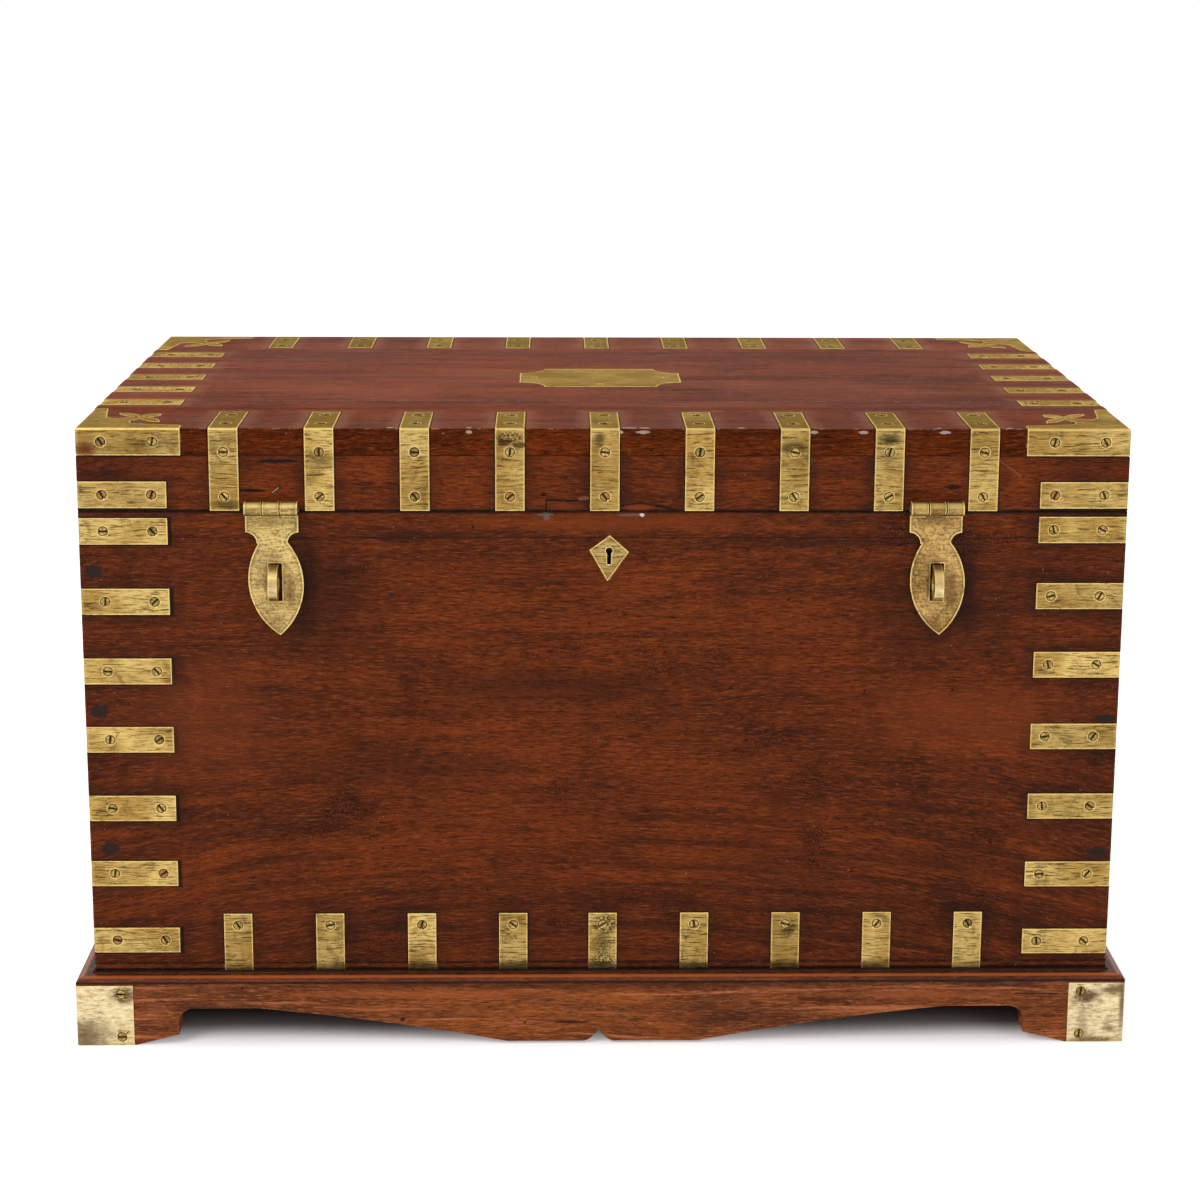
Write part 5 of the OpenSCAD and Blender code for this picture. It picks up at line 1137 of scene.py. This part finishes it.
class CHEST_OT_hasps(Operator):
    """Finish the hasps, their leaves and pins, and the staples with their nuts."""
    bl_idname = "chest.hasps"
    bl_label = "Hasps and staples"

    def execute(self, context):
        brass = context.scene.chest_brass
        cast = brass_material("hasp_brass", brass, "X", tarnish=0.30, pale=0.10, shine=0.34, lined=0.6,
                              rim=0.0026, marks=hasp_shade_and_patches(), vary=0.1, mottle=0.50, inner_shade=0.60,
                              rim_highlight=1.60)
        bronze = brass_material("bronze_hasp_brass", brass, "X", tarnish=0.35, shine=0.36, lined=0.3,
                                rim=0.0026, marks=hasp_shade_and_patches(), vary=0.1, tone=(0.90, 0.80, 0.84),
                                mottle=0.50, inner_shade=0.7, rim_highlight=1.95)
        worn = brass_material("staple_brass", brass, "X", tarnish=0.20, pale=0.5, shine=0.26, lined=0.1,
                              rim=0.0020, vary=0.1, mottle=0.3, crease_shade=0.4, rim_highlight=1.35)
        for node, bevel, material in (
                ("left_hasp", 3.4, cast), ("right_hasp", 3.4, bronze), ("hasp_leaves", 1.2, cast),
                ("hasp_pins", 0.5, cast), ("left_staple", 5.0, worn), ("right_staple", 5.0, worn),
                ("staple_nuts", 0.8, cast)):
            finished_copy(node, material, brass.bevel * bevel, 4)
        return {"FINISHED"}


class CHEST_OT_screws(Operator):
    """Finish every screw and pin."""
    bl_idname = "chest.screws"
    bl_label = "Screws and pins"

    def execute(self, context):
        material = screw_material(context.scene.chest_brass)
        for node in ("plinth_plate_screws", "case_strap_screws", "lid_strap_screws", "bottom_screws",
                     "ledger_screws", "case_fitting_screws", "lid_fitting_screws", "lid_pins"):
            finished_copy(node, material, SCREW_EDGE, 1)
        return {"FINISHED"}


class CHEST_OT_hinges_and_lock(Operator):
    """Finish the lid's hinges and the box lock."""
    bl_idname = "chest.hinges_and_lock"
    bl_label = "Hinges and lock"

    def execute(self, context):
        brass = context.scene.chest_brass
        hinge = brass_material("hinge_brass", brass, "X", tarnish=0.45)
        iron = iron_material()
        for node in ("hinge_case_leaves", "hinge_lid_leaves", "hinge_pins", "lock_selvedge",
                     "lock_link_plate"):
            finished_copy(node, hinge, brass.bevel * 0.5)
        for node in ("lock_case", "lock_bolt"):
            finished_copy(node, iron, brass.bevel * 0.5)
        return {"FINISHED"}


class CHEST_OT_handles(Operator):
    """Finish the drop handles and their backplates."""
    bl_idname = "chest.handles"
    bl_label = "End handles"

    def execute(self, context):
        brass = context.scene.chest_brass
        cast = brass_material("handle_brass", brass, "Y", tarnish=0.30, shine=0.34)
        for node in ("left_handle_plate", "right_handle_plate"):
            finished_copy(node, cast, brass.bevel * 1.4, 3)
        for node in ("left_handle", "right_handle"):
            round_shading(finished_copy(node, cast, 0.0))
        return {"FINISHED"}


class CHEST_OT_stage(Operator):
    """Make the pale studio: floor, light, background and camera."""
    bl_idname = "chest.stage"
    bl_label = "Studio and camera"

    def execute(self, context):
        scene = context.scene
        stage = scene.chest_stage
        lay_floor(scene)
        hang_sky(scene, stage.sky)
        add_light(scene, "key_light", (-1.9, -2.0, 2.5), 0.3, 1.8, stage.key, (1.0, 0.98, 0.95))
        add_light(scene, "fill_light", (2.2, -2.4, 1.5), 0.3, 2.0, stage.fill, (1.0, 0.99, 0.98))
        add_light(scene, "top_light", (0.0, 1.2, 2.6), 0.4, 2.4, stage.fill * 1.2, (0.97, 0.98, 1.0))
        set_camera(scene, stage.focal, stage.shift)
        scene.view_settings.view_transform = "Standard"
        return {"FINISHED"}


OPERATORS = (
    CHEST_OT_case_wood, CHEST_OT_plinth_wood, CHEST_OT_lid_wood, CHEST_OT_straps, CHEST_OT_name_and_key,
    CHEST_OT_hasps, CHEST_OT_screws, CHEST_OT_hinges_and_lock, CHEST_OT_handles, CHEST_OT_stage,
)


class CHEST_PT_panel(Panel):
    """Lists the chest's operators and settings."""
    bl_idname = "CHEST_PT_panel"
    bl_label = "Brass-bound chest"
    bl_space_type = "VIEW_3D"
    bl_region_type = "UI"
    bl_category = "Chest"

    def draw(self, context):
        for group in (context.scene.chest_wood, context.scene.chest_brass, context.scene.chest_stage):
            box = self.layout.box()
            for name in group.__annotations__:
                box.prop(group, name)
        for operator in OPERATORS:
            self.layout.operator(operator.bl_idname)


CLASSES = (WoodSettings, BrassSettings, StageSettings, *OPERATORS, CHEST_PT_panel)


def register():
    for cls in CLASSES:
        bpy.utils.register_class(cls)
    bpy.types.Scene.chest_wood = PointerProperty(type=WoodSettings)
    bpy.types.Scene.chest_brass = PointerProperty(type=BrassSettings)
    bpy.types.Scene.chest_stage = PointerProperty(type=StageSettings)


def unregister():
    del bpy.types.Scene.chest_stage
    del bpy.types.Scene.chest_brass
    del bpy.types.Scene.chest_wood
    for cls in reversed(CLASSES):
        bpy.utils.unregister_class(cls)


def main():
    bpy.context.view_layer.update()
    register()
    bpy.ops.chest.case_wood()
    bpy.ops.chest.plinth_wood()
    bpy.ops.chest.lid_wood()
    bpy.ops.chest.straps()
    bpy.ops.chest.name_and_key()
    bpy.ops.chest.hasps()
    bpy.ops.chest.screws()
    bpy.ops.chest.hinges_and_lock()
    bpy.ops.chest.handles()
    bpy.ops.chest.stage()


if __name__ == "__main__":
    main()
